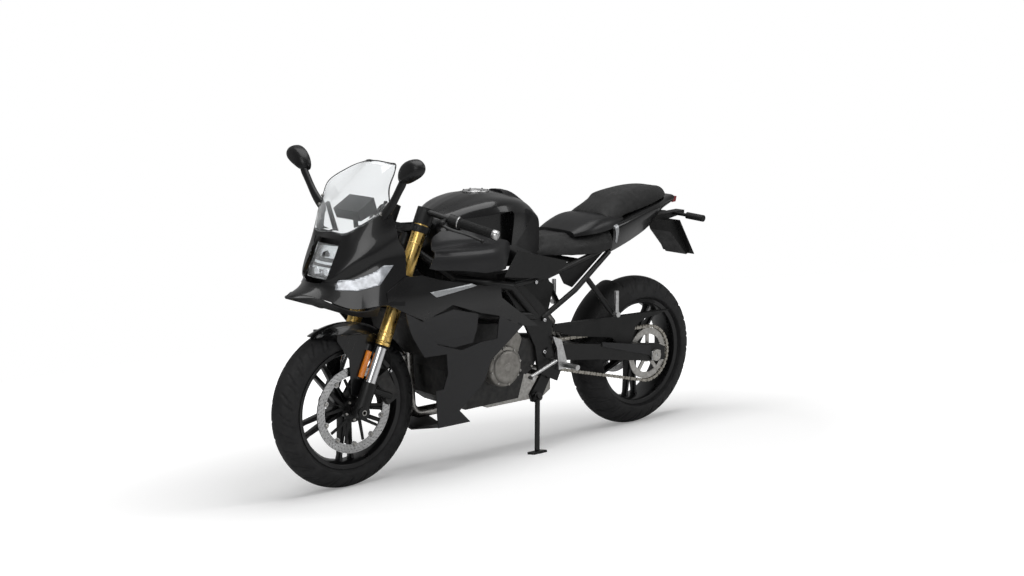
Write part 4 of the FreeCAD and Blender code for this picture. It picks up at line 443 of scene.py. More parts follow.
# %% [markdown]
# ## More ways to make a form
# A turned piece, a tube and a flat plate cover nearly everything on a machine.
# A ring of sections with subdivision makes the soft moulded forms, and a cap with a
# recess, used many times in one mesh, makes every screw.
# %% Plates, shells, screws
def prism(outline, y_low, y_high):
    """A side-view outline of (x, z) made solid between two planes."""
    count = len(outline)
    points = [Vector((x, y_low, z)) for x, z in outline] + [Vector((x, y_high, z)) for x, z in outline]
    faces = [tuple(range(count)), tuple(range(2 * count - 1, count - 1, -1))]
    faces += [(i, i + count, (i + 1) % count + count, (i + 1) % count) for i in range(count)]
    return points, faces


def mirror_points(points, faces):
    """The same form on the machine's other side."""
    return [Vector((p[0], -p[1], p[2])) for p in points], [tuple(reversed(face)) for face in faces]


def both_sides(points, faces):
    return joined([(points, faces), mirror_points(points, faces)])


def turned_out(mesh):
    """Make all faces of a mesh look outwards."""
    work = bmesh.new()
    work.from_mesh(mesh)
    bmesh.ops.recalc_face_normals(work, faces=work.faces)
    work.to_mesh(mesh)
    work.free()


def rounded(thing, width=0.002, segments=2):
    """Round the edges of a cut plate, so that they catch the light."""
    turned_out(thing.data)
    bevel = thing.modifiers.new("edges", "BEVEL")
    bevel.width, bevel.segments, bevel.limit_method = width, segments, "ANGLE"
    bevel.harden_normals = True
    return thing


def softened(thing, levels=2):
    """Turn a cage into a moulded form."""
    turned_out(thing.data)
    smooth = thing.modifiers.new("mould", "SUBSURF")
    smooth.levels = smooth.render_levels = levels
    return thing


def walled(thing, thickness, offset=0):
    """Give a sheet a thickness."""
    wall = thing.modifiers.new("wall", "SOLIDIFY")
    wall.thickness, wall.offset = thickness, offset
    return thing


def screws(places, direction, radius=0.005, sides=12):
    """Cap screws with a recess, all along one direction."""
    profile = [(-0.5, 1), (0.7, 1), (1.0, 0.82), (1.0, 0.52), (0.45, 0.48), (0.45, 0.02)]
    heads = []
    for place in places:
        head = [(d * radius, r * radius) for d, r in profile]
        heads.append(lathe(head, place, direction, sides))
    return joined(heads)


def ring_of(centre, radius, count, phase=0.0):
    """Places on a circle in a plane seen from the side."""
    return [Vector(centre) + radial(math.tau * i / count + phase) * radius for i in range(count)]


def radial(angle):
    """A direction in the side view, turned from straight up towards the front."""
    return Vector((math.sin(angle), 0, math.cos(angle)))


LEFT = Vector((0, 1, 0))
RIGHT = Vector((0, -1, 0))
FAR_OUT = 0.6  # rays that look for a surface start this far to the side
FORK_HALF = 0.105  # from the middle to each leg
CASE_SIDE = 0.1283  # the flat sides of the engine
TO_MACHINE = machine.inverted()


def surface_of(name):
    """A search tree of a solid's surface, in the machine's own axes."""
    mesh = nodes[name].data
    return BVHTree.FromPolygons([TO_MACHINE @ v.co for v in mesh.vertices],
                                [tuple(p.vertices) for p in mesh.polygons])


print("form helpers ready")

# %% [markdown]
# ## Bodywork as rows of points
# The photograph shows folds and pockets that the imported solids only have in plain
# form. The panels are drawn again from rows of points, in shares of the wheelbase,
# of 250 mm and of one metre. A smooth curve goes through each row and across the
# rows, the sheet gets a thickness, and a prism trims it to its outline.
# %% Lofts, shells and trims
HALF_BODY = 0.250


def share(x, y, z):
    return Vector((x * WHEELBASE, y * HALF_BODY, z))


def refined(rows, across=6, along=6):
    """More rows and more points in each, on smooth curves."""
    fine = [smooth_path(row, along) for row in rows]
    columns = [smooth_path(column, across) for column in zip(*fine)]
    return [list(row) for row in zip(*columns)]


def grid(rows):
    wide = len(rows[0])
    points = [p for row in rows for p in row]
    faces = [(r * wide + c, r * wide + c + 1, (r + 1) * wide + c + 1, (r + 1) * wide + c)
             for r in range(len(rows) - 1) for c in range(wide - 1)]
    return points, faces


def whole_row(row):
    """A row from the left edge to the middle, and on to the right edge."""
    return row + [Vector((p.x, -p.y, p.z)) for p in reversed(row[:-1])]


def shell(name, rows, thickness, body, finish, outward):
    """A sheet through rows of points, thickened away from the outward direction."""
    points, faces = grid(refined(rows))
    normal = sum(((points[b] - points[a]).cross(points[c] - points[a]) for a, b, c, _ in faces), Vector())
    if normal.dot(Vector(outward)) < 0:
        faces = [tuple(reversed(face)) for face in faces]
    sheet = walled(piece(name, points, faces, body, finish), thickness, -1)
    bake(sheet)
    return sheet


def loft_rings(sections):
    """Closed rings across the machine from left half profiles, refined both ways."""
    halves = []
    for x, half in sections:
        profile = [share(x, y, z) for y, z in half]
        flat = half[-1][0] == 0
        curve = smooth_path(profile[:-1] if flat else profile, 6)
        halves.append(curve + ([profile[-1]] if flat else []))
    columns = [smooth_path(column, 5) for column in zip(*halves)]
    rings = []
    for left_half in zip(*columns):
        right_half = [Vector((p.x, -p.y, p.z)) for p in reversed(left_half) if abs(p.y) > 1e-6]
        rings.append(list(left_half) + right_half)
    return rings


def bake(thing):
    """Keep what the modifiers made and remove them."""
    bpy.context.view_layer.update()
    evaluated = thing.evaluated_get(bpy.context.evaluated_depsgraph_get())
    shape = bpy.data.meshes.new_from_object(evaluated)
    thing.modifiers.clear()
    thing.data = shape


def carve(thing, points, faces, operation="DIFFERENCE"):
    """Cut or trim a piece with another form, and keep the result."""
    mesh = bpy.data.meshes.new("cutter")
    mesh.from_pydata([tuple(p) for p in points], [], faces)
    turned_out(mesh)
    cutter = bpy.data.objects.new("cutter", mesh)
    bpy.context.scene.collection.objects.link(cutter)
    cutter.matrix_world = machine
    cut = thing.modifiers.new("cut", "BOOLEAN")
    cut.object, cut.operation, cut.solver = cutter, operation, "EXACT"
    bake(thing)
    bpy.data.objects.remove(cutter)
    return thing


def side_cutter(outline, y_low, y_high):
    return prism([(x * WHEELBASE, z) for x, z in outline], y_low, y_high)


def front_cutter(outline, x_low, x_high):
    ring = [Vector((0, y * HALF_BODY, z)) for y, z in outline]
    return stacked([[p + Vector((x, 0, 0)) for p in ring] for x in (x_low, x_high)])


def crisp(thing, width=0.0012):
    """Flat faces stay flat and edges get a small round."""
    thing.data.shade_smooth()
    edges = thing.modifiers.new("edges", "BEVEL")
    edges.width, edges.segments, edges.angle_limit = width, 2, math.radians(50)
    edges.limit_method = "ANGLE"
    weighted = thing.modifiers.new("normals", "WEIGHTED_NORMAL")
    weighted.keep_sharp = True
    return thing


def twin(thing, name, body="chassis"):
    """The right-hand copy of a left-hand piece."""
    mesh = thing.data.copy()
    mesh.transform(Matrix.Scale(-1, 4, LEFT))
    mesh.flip_normals()
    material = mesh.materials[0]
    mesh.materials.clear()
    other = settle(bpy.data.objects.new(name, mesh), body, material)
    for modifier in thing.modifiers:
        copy = other.modifiers.new(modifier.name, modifier.type)
        if modifier.type == "BEVEL":
            for setting in ("width", "segments", "angle_limit", "limit_method"):
                setattr(copy, setting, getattr(modifier, setting))
    return other


def plate(name, outline, y_low, y_high, finish, width, segments=3, pair=True):
    """A flat plate with rounded edges from a side-view outline, on both sides or one."""
    form = side_cutter(outline, y_low, y_high)
    thing = piece(name, *(both_sides(*form) if pair else form), "chassis", finish, smooth=False)
    return rounded(thing, width, segments)


def side_panel(name, rows, outline, finish):
    """A sheet through rows of points on the left, trimmed, and its twin on the right."""
    panel = shell(name + "_left", rows, 0.004, "chassis", finish, LEFT)
    carve(panel, *side_cutter(outline, 0, 0.4), "INTERSECT")
    crisp(panel)
    twin(panel, name + "_right")
    return panel


def tree_of(thing):
    """A search tree of a piece's surface, in its own coordinates."""
    mesh = thing.data
    return BVHTree.FromPolygons([v.co for v in mesh.vertices], [tuple(p.vertices) for p in mesh.polygons])


print("row helpers ready")

# %% [markdown]
# ## Side fairings
# Both side panels come from one sheet of seven rows. The upper one runs from the
# nose down and back as a long blade, the lower one closes the side of the engine.
# %% Model the side fairings
FAIRING_COLUMNS = (0.985, 0.911, 0.822, 0.726, 0.630, 0.534, 0.430)
FAIRING_ROWS = (
    (0.900, (0.93, 0.96, 0.95, 0.90, 0.82, 0.76, 0.68)),
    (0.790, (0.97, 1.01, 1.01, 0.96, 0.88, 0.80, 0.72)),
    (0.690, (1.00, 1.05, 1.05, 1.00, 0.94, 0.85, 0.75)),
    (0.620, (0.86, 0.92, 0.94, 0.93, 0.90, 0.84, 0.76)),
    (0.540, (0.76, 0.80, 0.85, 0.87, 0.86, 0.82, 0.76)),
    (0.400, (0.74, 0.76, 0.80, 0.83, 0.83, 0.80, 0.76)),
    (0.190, (0.74, 0.74, 0.75, 0.75, 0.73, 0.70, 0.68)))
fairing_rows = [[share(x, y, z) for x, y in zip(FAIRING_COLUMNS, half)] for z, half in FAIRING_ROWS]
UPPER = ((0.985, 0.753), (0.930, 0.800), (0.878, 0.796), (0.826, 0.772), (0.671, 0.723),
         (0.621, 0.721), (0.616, 0.670), (0.470, 0.530), (0.542, 0.545), (0.621, 0.600),
         (0.691, 0.627), (0.790, 0.676), (0.868, 0.628), (0.929, 0.668), (0.985, 0.708))
LOWER = ((0.934, 0.670), (0.868, 0.622), (0.849, 0.577), (0.812, 0.525), (0.739, 0.491),
         (0.680, 0.509), (0.621, 0.512), (0.617, 0.596), (0.524, 0.548), (0.641, 0.433),
         (0.658, 0.356), (0.735, 0.258), (0.697, 0.206), (0.802, 0.206), (0.813, 0.350),
         (0.790, 0.352), (0.778, 0.410), (0.785, 0.485), (0.850, 0.485), (0.905, 0.600))
panels = {}
for tag, outline, material, solid in (("upper", UPPER, gloss_black, "upper_fairings"),
                                      ("lower", LOWER, graphite, "lower_fairings")):
    panels[tag] = side_panel(tag + "_blade", fairing_rows, outline, material)
    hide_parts(solid)
    print(panels[tag].name, "faces", len(panels[tag].data.polygons))

# %% [markdown]
# ## Nose and windscreen
# The nose is one sheet over the whole front, pierced by the lamp opening. The
# windscreen starts on its upper edge and closes to a narrow top.
# %% Model the nose and the screen
NOSE = (
    ((0.955, 0.84, 1.041), (0.981, 0.72, 1.010), (1.010, 0.54, 0.972), (1.033, 0.36, 0.944), (1.032, 0, 0.946)),
    ((0.946, 0.89, 0.984), (0.982, 0.75, 0.952), (1.022, 0.56, 0.912), (1.048, 0.35, 0.885), (1.060, 0, 0.903)),
    ((0.942, 0.94, 0.928), (0.985, 0.78, 0.892), (1.034, 0.59, 0.850), (1.076, 0.34, 0.800), (1.088, 0, 0.812)),
    ((0.921, 0.93, 0.870), (0.979, 0.80, 0.840), (1.032, 0.56, 0.798), (1.074, 0.33, 0.772), (1.100, 0, 0.765)),
    ((0.940, 1.05, 0.700), (1.001, 0.98, 0.708), (1.051, 0.68, 0.695), (1.103, 0.34, 0.728), (1.164, 0, 0.732)))
SCREEN = NOSE[:1] + (
    ((0.944, 0.74, 1.108), (0.965, 0.62, 1.072), (0.990, 0.44, 1.042), (1.008, 0.24, 1.026), (1.014, 0, 1.022)),
    ((0.902, 0.54, 1.158), (0.916, 0.45, 1.140), (0.934, 0.32, 1.122), (0.946, 0.17, 1.114), (0.950, 0, 1.112)),
    ((0.876, 0.36, 1.180), (0.883, 0.29, 1.184), (0.890, 0.21, 1.187), (0.896, 0.11, 1.190), (0.899, 0, 1.190)))
OPENING = ((0.31, 0.928), (0.31, 0.796), (0.18, 0.774), (-0.18, 0.774), (-0.31, 0.796),
           (-0.31, 0.928))
nose_rows, screen_rows = [[whole_row([share(*p) for p in row]) for row in rows] for rows in (NOSE, SCREEN)]
nose = shell("nose_shell", nose_rows, 0.004, "chassis", gloss_black, (1, 0, 0.3))
carve(nose, *front_cutter(OPENING, 1.005 * WHEELBASE, 1.3 * WHEELBASE))
crisp(nose)
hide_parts("nose_cowl")
screen = shell("clear_screen", screen_rows, 0.003, "chassis", screen_clear, (1, 0, 0.5))
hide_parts("windscreen")
left_rim = [share(*row[0]) for row in SCREEN] + [share(*p) for p in SCREEN[-1][1:]]
rim_path = whole_row(smooth_path(left_rim, 6))
piece("screen_edge", *pipe(rim_path, 0.0022, 8), "chassis", satin_plastic)
print("nose", len(nose.data.polygons), "screen", len(screen.data.polygons))

# %% [markdown]
# ## Tank, tank panels and inner covers
# The tank is lofted through eight sections, with a pocket in each flank and a round
# seat for the filler cap. The dark knee inserts are cut from the same loft. Curved
# panels cover the flanks and the space under the tank's rear, a cover runs along
# its top, and plain plates close the space below the tank and the seat.
# %% Model the tank and its covers
TANK = (
    (0.745, ((0, 0.955), (0.16, 0.950), (0.27, 0.930), (0.32, 0.850), (0.30, 0.800))),
    (0.720, ((0, 0.985), (0.20, 0.978), (0.40, 0.950), (0.48, 0.850), (0.50, 0.790))),
    (0.666, ((0, 1.020), (0.26, 1.012), (0.58, 0.985), (0.62, 0.860), (0.66, 0.780))),
    (0.603, ((0, 1.042), (0.28, 1.036), (0.68, 1.000), (0.68, 0.855), (0.68, 0.775))),
    (0.553, ((0, 1.044), (0.30, 1.036), (0.68, 0.998), (0.66, 0.845), (0.66, 0.770))),
    (0.500, ((0, 1.034), (0.32, 1.022), (0.60, 0.985), (0.56, 0.840), (0.56, 0.765))),
    (0.450, ((0, 1.008), (0.30, 0.995), (0.46, 0.960), (0.46, 0.830), (0.46, 0.765))),
    (0.405, ((0, 0.955), (0.24, 0.945), (0.36, 0.915), (0.36, 0.815), (0.36, 0.770))))
POCKET = ((0.700, 0.962), (0.620, 0.972), (0.548, 0.980), (0.538, 0.968), (0.543, 0.850),
          (0.600, 0.842), (0.690, 0.860))
KNEE = ((0.428, 0.948), (0.442, 0.945), (0.525, 0.845), (0.440, 0.800), (0.395, 0.760),
        (0.380, 0.960))
cap_place = Vector((0.835, 0, 1.040))
tank = piece("tank_shell", *stacked(loft_rings(TANK)), "chassis", gloss_black)
bake(tank)
for side in (-1, 1):
    carve(tank, *side_cutter(POCKET, side * 0.130, side * 0.30))
carve(tank, *lathe([(-0.02, 0), (-0.02, 0.0525), (0.05, 0.0525), (0.05, 0)], cap_place, (0, 0, 1), 48))
insert = piece("knee_inserts", *stacked(loft_rings(TANK)), "chassis", satin_plastic)
carve(insert, *side_cutter(KNEE, -0.3, 0.3), "INTERSECT")
carve(tank, *side_cutter(KNEE, -0.3, 0.3))
crisp(tank, 0.003)
crisp(insert, 0.002)
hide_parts("fuel_tank")
TOP_COVER = (
    (0.505, ((0, 1.046), (0.15, 1.040), (0.22, 1.018), (0.20, 1.000), (0, 1.000))),
    (0.470, ((0, 1.034), (0.18, 1.028), (0.26, 1.000), (0.24, 0.980), (0, 0.980))),
    (0.408, ((0, 0.972), (0.17, 0.966), (0.24, 0.940), (0.22, 0.920), (0, 0.920))))
crisp(piece("tank_top_cover", *stacked(loft_rings(TOP_COVER)), "chassis", satin_plastic))
FLANK_ROWS = (
    ((0.850, 0.66, 0.955), (0.760, 0.56, 0.955), (0.670, 0.58, 0.955), (0.600, 0.66, 0.955), (0.530, 0.58, 0.955)),
    ((0.850, 0.78, 0.885), (0.760, 0.70, 0.885), (0.670, 0.68, 0.885), (0.600, 0.72, 0.885), (0.530, 0.58, 0.885)),
    ((0.850, 0.92, 0.862), (0.760, 0.90, 0.858), (0.670, 0.88, 0.852), (0.600, 0.82, 0.846), (0.530, 0.58, 0.840)),
    ((0.850, 0.95, 0.770), (0.760, 0.95, 0.770), (0.670, 0.92, 0.770), (0.600, 0.86, 0.770), (0.530, 0.60, 0.770)))
FLANK = ((0.850, 0.815), (0.805, 0.912), (0.770, 0.930), (0.698, 0.925), (0.640, 0.900),
         (0.560, 0.870), (0.538, 0.850), (0.600, 0.752), (0.632, 0.760), (0.740, 0.790),
         (0.830, 0.806))
COVER_ROWS = (
    ((0.640, 0.82, 0.845), (0.535, 0.74, 0.836), (0.430, 0.66, 0.796), (0.335, 0.62, 0.760)),
    ((0.640, 0.88, 0.745), (0.560, 0.82, 0.720), (0.455, 0.72, 0.695), (0.335, 0.66, 0.685)))
COVER = ((0.534, 0.830), (0.430, 0.790), (0.345, 0.758), (0.350, 0.742), (0.433, 0.700),
         (0.468, 0.712), (0.596, 0.740))
for tag, rows, outline, material in (("flank", FLANK_ROWS, FLANK, graphite),
                                     ("side_cover", COVER_ROWS, COVER, moulded)):
    panels[tag] = side_panel(tag, [[share(*p) for p in row] for row in rows], outline, material)
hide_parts("tank_panels")
UNDER_SEAT = ((0.360, 0.735), (0.200, 0.765), (0.175, 0.775), (0.300, 0.640), (0.330, 0.660))
AIRBOX = ((0.500, 0.700), (0.400, 0.700), (0.360, 0.660), (0.380, 0.560), (0.440, 0.540),
          (0.500, 0.600))
TANK_BASE = ((0.560, 0.690), (0.740, 0.716), (0.740, 0.830), (0.560, 0.815))
plate("under_seat_panels", UNDER_SEAT, 0.110, 0.118, moulded, 0.004)
plate("air_box", AIRBOX, 0.045, 0.108, moulded, 0.004)
plate("tank_base", TANK_BASE, 0.060, 0.105, moulded, 0.004)
print("tank", len(tank.data.polygons), "panels", [len(p.data.polygons) for p in panels.values()])

# %% [markdown]
# ## Tail
# The tail is lofted from under the rider's seat to the lamp. A second, darker loft
# is the hump between the two seats.
# %% Model the tail
TAIL = (
    (0.165, ((0, 0.880), (0.46, 0.876), (0.58, 0.848), (0.50, 0.762), (0, 0.762))),
    (0.110, ((0, 0.893), (0.46, 0.890), (0.56, 0.862), (0.40, 0.774), (0, 0.774))),
    (0.040, ((0, 0.916), (0.42, 0.914), (0.50, 0.884), (0.30, 0.797), (0, 0.797))),
    (-0.030, ((0, 0.934), (0.36, 0.932), (0.42, 0.906), (0.22, 0.832), (0, 0.832))),
    (-0.095, ((0, 0.948), (0.22, 0.946), (0.28, 0.930), (0.14, 0.893), (0, 0.893))),
    (-0.136, ((0, 0.956), (0.18, 0.954), (0.22, 0.940), (0.14, 0.922), (0, 0.922))))
tail = crisp(piece("tail_shell", *stacked(loft_rings(TAIL)), "chassis", gloss_black), 0.003)
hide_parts("tail_cowl")
HUMP = (
    (0.290, ((0, 0.862), (0.30, 0.860), (0.42, 0.852), (0.44, 0.840), (0, 0.840))),
    (0.250, ((0, 0.888), (0.36, 0.884), (0.50, 0.868), (0.54, 0.845), (0, 0.845))),
    (0.205, ((0, 0.908), (0.40, 0.903), (0.53, 0.884), (0.57, 0.850), (0, 0.850))),
    (0.160, ((0, 0.914), (0.40, 0.908), (0.52, 0.892), (0.56, 0.862), (0, 0.862))),
    (0.110, ((0, 0.906), (0.38, 0.902), (0.46, 0.894), (0.48, 0.880), (0, 0.880))))
hump = crisp(piece("tail_hump", *stacked(loft_rings(HUMP)), "chassis", satin_plastic), 0.002)
print("tail", len(tail.data.polygons), "hump", len(hump.data.polygons))

# %% [markdown]
# ## Wheels and front mudguard
# The rims have five pairs of spokes that are wide at the hub and slim at the rim.
# The guard is a thin arch over the tyre, pointed ahead, with an ear down each leg.
# %% Model the rims and the guard
SPOKES = ((0.0, 0.012, 0.026), (0.18, 0.0105, 0.023), (0.5, 0.0085, 0.0175),
          (0.86, 0.0075, 0.0145), (1.0, 0.0105, 0.0170))  # share of the length, width, depth
OCTAGON = ((-0.55, -1), (0.55, -1), (1, -0.62), (1, 0.62), (0.55, 1), (-0.55, 1), (-1, 0.62),
           (-1, -0.62))


def cast_rim(side, centre, half, hub_low, hub_high):
    """A rim turned from one profile, a hub, and five pairs of spokes."""
    outer = [(half, 0.2225), (half - 0.004, 0.2235), (half - 0.006, 0.2160), (half - 0.020, 0.2135),
             (0.012, 0.2050)]
    inner = [(half - 0.018, 0.2010), (half - 0.004, 0.2075)]
    profile = outer + [(-d, r) for d, r in reversed(outer)] + [(-d, r) for d, r in reversed(inner)] + \
        [(-0.016, 0.1965), (0.016, 0.1965)] + inner + outer[:1]
    hub = [(hub_low, 0.012), (hub_low, 0.034), (hub_low + 0.004, 0.037), (hub_high - 0.004, 0.037),
           (hub_high, 0.034), (hub_high, 0.012)]
    parts = [lathe(profile, centre, LEFT, 120), lathe(hub, centre, LEFT, 48)]
    for pair in range(5):
        for side_turn in (-1, 1):
            middle = math.radians(36 + 72 * pair)
            root = radial(middle + side_turn * math.radians(17)) * 0.030
            tip = radial(middle + side_turn * math.radians(7.5)) * 0.204
            across = (tip - root).normalized().cross(LEFT)
            parts.append(stacked([[centre + root.lerp(tip, t) + across * (wide * a) + LEFT * (deep * b)
                                   for a, b in OCTAGON] for t, wide, deep in SPOKES]))
    wheel = crisp(piece(side + "_cast_rim", *joined(parts), side + "_wheel", wheel_black), 0.0012)
    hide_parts(side + "_rim")
    return wheel


cast_rim("front", front_centre, 0.047, -0.060, 0.060)
cast_rim("rear", rear_centre, 0.063, -0.084, 0.080)

GUARD_SIDE = ((0.68, 1.00), (0.60, 0.945), (0.25, 0.885), (-0.33, 0.81), (-0.60, 0.68),
              (-1.00, 0.45), (-1.30, 0.80), (-0.80, 1.30), (0.68, 1.30))
guard_profile = []
for i in range(25):
    angle = math.radians(-82 + 164 * i / 24)
    guard_profile.append((math.sin(angle) * 0.070, 0.240 + math.cos(angle) * 0.072))
guard_rows = []
for step in range(73):
    turn = radial(math.radians(-66 + 118 * step / 72))
    guard_rows.append([front_centre + LEFT * y + turn * r for y, r in guard_profile])
guard = walled(piece("front_guard", *grid(guard_rows), "steering", gloss_black), 0.003)
bake(guard)
trim = [(1.0 + x * FRONT_RADIUS / WHEELBASE, FRONT_RADIUS + z * FRONT_RADIUS) for x, z in GUARD_SIDE]
carve(guard, *side_cutter(trim, -0.2, 0.2), "INTERSECT")
plan = [(0.68, 0.0), (0.55, 0.13), (0.30, 0.25), (-1.30, 0.30)]
ring = [Vector((WHEELBASE + x * FRONT_RADIUS, y * FRONT_RADIUS, 0)) for x, y in plan]
ring += [Vector((p.x, -p.y, 0)) for p in reversed(ring[1:])]
carve(guard, *stacked([ring, [p + Vector((0, 0, 0.9)) for p in ring]]), "INTERSECT")
crisp(guard)
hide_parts("front_mudguard")
EAR = ((0.253, 0.95), (0.253, 0.88), (0.08, 0.633), (0.06, 0.203), (-0.087, 0.153), (-0.14, 0.560),
       (-0.337, 0.787), (-0.337, 0.90))
ear = [(WHEELBASE + x * FRONT_RADIUS, FRONT_RADIUS + z * FRONT_RADIUS) for x, z in EAR]
ears = piece("guard_ears", *both_sides(*prism(ear, 0.0715, 0.0765)), "steering", gloss_black, smooth=False)
rounded(ears, 0.0015, 2)
print("guard", len(guard.data.polygons))

# %% [markdown]
# ## Tyres
# A road tyre is a smooth round crown with swept grooves that stop short of the
# middle. Cut with booleans they would be slow and messy, so the crown is a fine
# grid and each point sinks where a groove passes. The groove is a curve drawn in
# the tread's own coordinates, repeated round the tyre and shifted on the far side.
# The sidewall gets two raised rings. The tyre replaces its plain solid.
# %% Model the tyres with tread
BEAD = 0.216
LIP = 0.2233
GROOVE_DEPTH = 0.0035


def smooth_step(value):
    value = max(0.0, min(1.0, value))
    return value * value * (3 - 2 * value)


def curve_at(t, start, pull, end):
    """A point of a curve from start to end that is pulled to one side."""
    return (1 - t) ** 2 * start + 2 * t * (1 - t) * pull + t * t * end


def tread_depth(share, across, pitches):
    """How deep the tread is cut at a share of the turn and a place from -1 to 1 across."""
    reach = abs(across)
    turn = share * pitches + (0.5 if across < 0 else 0.0)
    depth = 0.0
    for offset, first, last, lean in ((0.0, 0.16, 0.74, 0.95), (0.45, 0.38, 0.86, 0.65)):
        middle = offset + lean * reach ** 1.4
        distance = abs((turn - middle + 0.5) % 1.0 - 0.5)
        ends = smooth_step((reach - first) * 14) * smooth_step((last - reach) * 14)
        depth = max(depth, ends * smooth_step((0.085 - distance) * 30))
    return depth


def tyre_mesh(centre, radius, half_width, rim_half, pitches, steps=780):
    """A tyre as rings of points, sunk where a groove passes."""
    bead_y = rim_half - 0.005
    crown = radius - half_width
    side_y = (bead_y + half_width) / 2 + 0.0025
    side_r = (LIP + crown) / 2
    wall = [(bead_y, BEAD), (bead_y, LIP)]
    for i in range(1, 9):
        t = i / 8
        y = curve_at(t, bead_y, 2 * side_y - (bead_y + half_width) / 2, half_width)
        r = curve_at(t, LIP, 2 * side_r - (LIP + crown) / 2, crown)
        ridge = 0.0012 if i in (2, 6) else 0.0
        wall.append((y + ridge, r))
    across = 40
    arc = [math.pi / 2 - math.pi * (i + 1) / (across + 1) for i in range(across)]
    profile = [(y, r, None) for y, r in wall]
    profile += [(math.sin(a) * half_width, crown + math.cos(a) * half_width, a / (math.pi / 2)) for a in arc]
    profile += [(-y, r, None) for y, r in reversed(wall)]
    points = []
    for step in range(steps):
        share = step / steps
        outward = radial(math.tau * share)
        for y, r, place in profile:
            if place is not None:
                cut = tread_depth(share, place, pitches) * GROOVE_DEPTH
                shrink = 1 - cut / half_width
                y, r = y * shrink, crown + (r - crown) * shrink
            points.append(centre + outward * r + LEFT * y)
    return points, turned_faces(steps, len(profile), closed=True)


for side, centre, radius, half_width, rim_half, pitches in (
        ("front", front_centre, FRONT_RADIUS, 0.060, 0.047, 26),
        ("rear", rear_centre, REAR_RADIUS, 0.081, 0.063, 24)):
    points, faces = tyre_mesh(centre, radius, half_width, rim_half, pitches)
    tyre = piece(side + "_road_tyre", points, faces, side + "_wheel", tyre_rubber)
    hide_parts(side + "_tyre")
    print(tyre.name, "faces", len(faces))

# %% [markdown]
# ## Brake discs
# The discs are steel bands with rows of drilled holes, and holes are what makes
# them read as discs. Each hole gets a small square cell of the band: the cell's
# edge and the hole's edge have the same number of points, so faces bridge them
# and the wall goes straight through. No boolean is needed. Small lobes on the
# inner edge carry the rivets, and a black spider ties the band to the hub.
# %% Model the drilled discs
def drilled_band(centre, inner, outer, y_low, y_high, cells, rows, hole):
    """A flat band of cells, each with a round hole, closed by its two edges."""
    points, faces = [], []
    sides = 12
    for cell in range(cells):
        for row in range(rows):
            shift = cell + 0.5 * (row % 2)
            low_r = inner + (outer - inner) * row / rows
            high_r = inner + (outer - inner) * (row + 1) / rows
            out = radial(math.tau * (shift + 0.5) / cells)
            along = Vector((out.z, 0, -out.x))
            start = len(points)
            for y in (y_high, y_low):
                for i in range(sides):
                    edge, part = i // 3, i % 3 / 3
                    u, w = ((0.0, part), (part, 1.0), (1.0, 1 - part), (1 - part, 0.0))[edge]
                    spoke = radial(math.tau * (shift + u) / cells) * (low_r + (high_r - low_r) * w)
                    points.append(centre + spoke + LEFT * y)
                for i in range(sides):
                    turn = math.tau * i / sides - 0.75 * math.pi
                    place = out * ((low_r + high_r) / 2 + math.sin(turn) * hole)
                    points.append(centre + LEFT * y + place + along * (math.cos(turn) * hole))
            for i in range(sides):
                j = (i + 1) % sides
                for a, b, c, d in ((i, j, sides + j, sides + i),
                                   (2 * sides + j, 2 * sides + i, 3 * sides + i, 3 * sides + j),
                                   (sides + i, sides + j, 3 * sides + j, 3 * sides + i)):
                    faces.append((start + a, start + b, start + c, start + d))
    edges = [lathe([(y_low, r), (y_high, r)], centre, LEFT, 4 * cells) for r in (inner, outer)]
    return joined([(points, faces)] + edges)


def brake_disc(side, radius, band, face, body, thickness):
    """A drilled band with lobes, a black spider, rivets and bolts on its outer face."""
    low, high = min(face, face + thickness), max(face, face + thickness)
    centre = front_centre if side == "front" else rear_centre
    inner = radius - band
    ring = drilled_band(centre, inner, radius, low, high, 60, 3, 0.0030)
    lobe = [(low, 0.0), (low, 0.0105), (high, 0.0105), (high, 0.0)]
    lobe_places = ring_of(centre, inner - 0.001, 10)
    lobes = [lathe(lobe, place, LEFT, 20) for place in lobe_places]
    disc = piece(side + "_drilled_disc", *joined([ring] + lobes), body, disc_steel, smooth=False)
    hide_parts(side + "_disc")
    arms = [lathe([(low, 0.018), (low, 0.046), (high, 0.046), (high, 0.018)], centre, LEFT, 48)]
    for i in range(5):
        middle = math.tau * i / 5
        for spread in (-0.36, 0.36):
            root = radial(middle) * 0.038
            end = radial(middle + spread * 0.87) * (inner - 0.004)
            across = (end - root).normalized().cross(LEFT) * 0.0065
            flat = [centre + root - across, centre + root + across,
                    centre + end + across * 0.8, centre + end - across * 0.8]
            arms.append(stacked([[p + LEFT * y for p in flat] for y in (low, high)]))
    spider = piece(side + "_disc_spider", *joined(arms), body, frame_black, smooth=False)
    rounded(spider, 0.0008, 1)
    outside, away = (high, LEFT) if thickness > 0 else (low, RIGHT)
    rivets = screws([p + LEFT * outside for p in lobe_places], away, 0.0062, 16)
    bolts = screws([p + LEFT * outside for p in ring_of(centre, 0.036, 5, 0.6)], away, 0.0055)
    piece(side + "_disc_rivets", *joined([rivets, bolts]), body, steel)


brake_disc("front", 0.160, 0.032, 0.060, "front_wheel", 0.005)
brake_disc("rear", 0.112, 0.026, -0.084, "rear_wheel", -0.005)
print("discs ready")

# %% [markdown]
# ## The drive chain
# From the side a chain is a row of figure-eight plates with a pin at both ends of
# each. The path is the line round both sprockets at their pitch radii. We walk it
# in equal steps and put two plates on each link, the outer and inner ones taking
# turns, with a round pin head at each joint.
# %% Model the chain
CHAIN_Y = 0.102
REAR_PITCH = 0.114
FRONT_PITCH = 0.038
LINKS = 112
front_sprocket = Vector((0.473 * WHEELBASE, 0, 0.402))


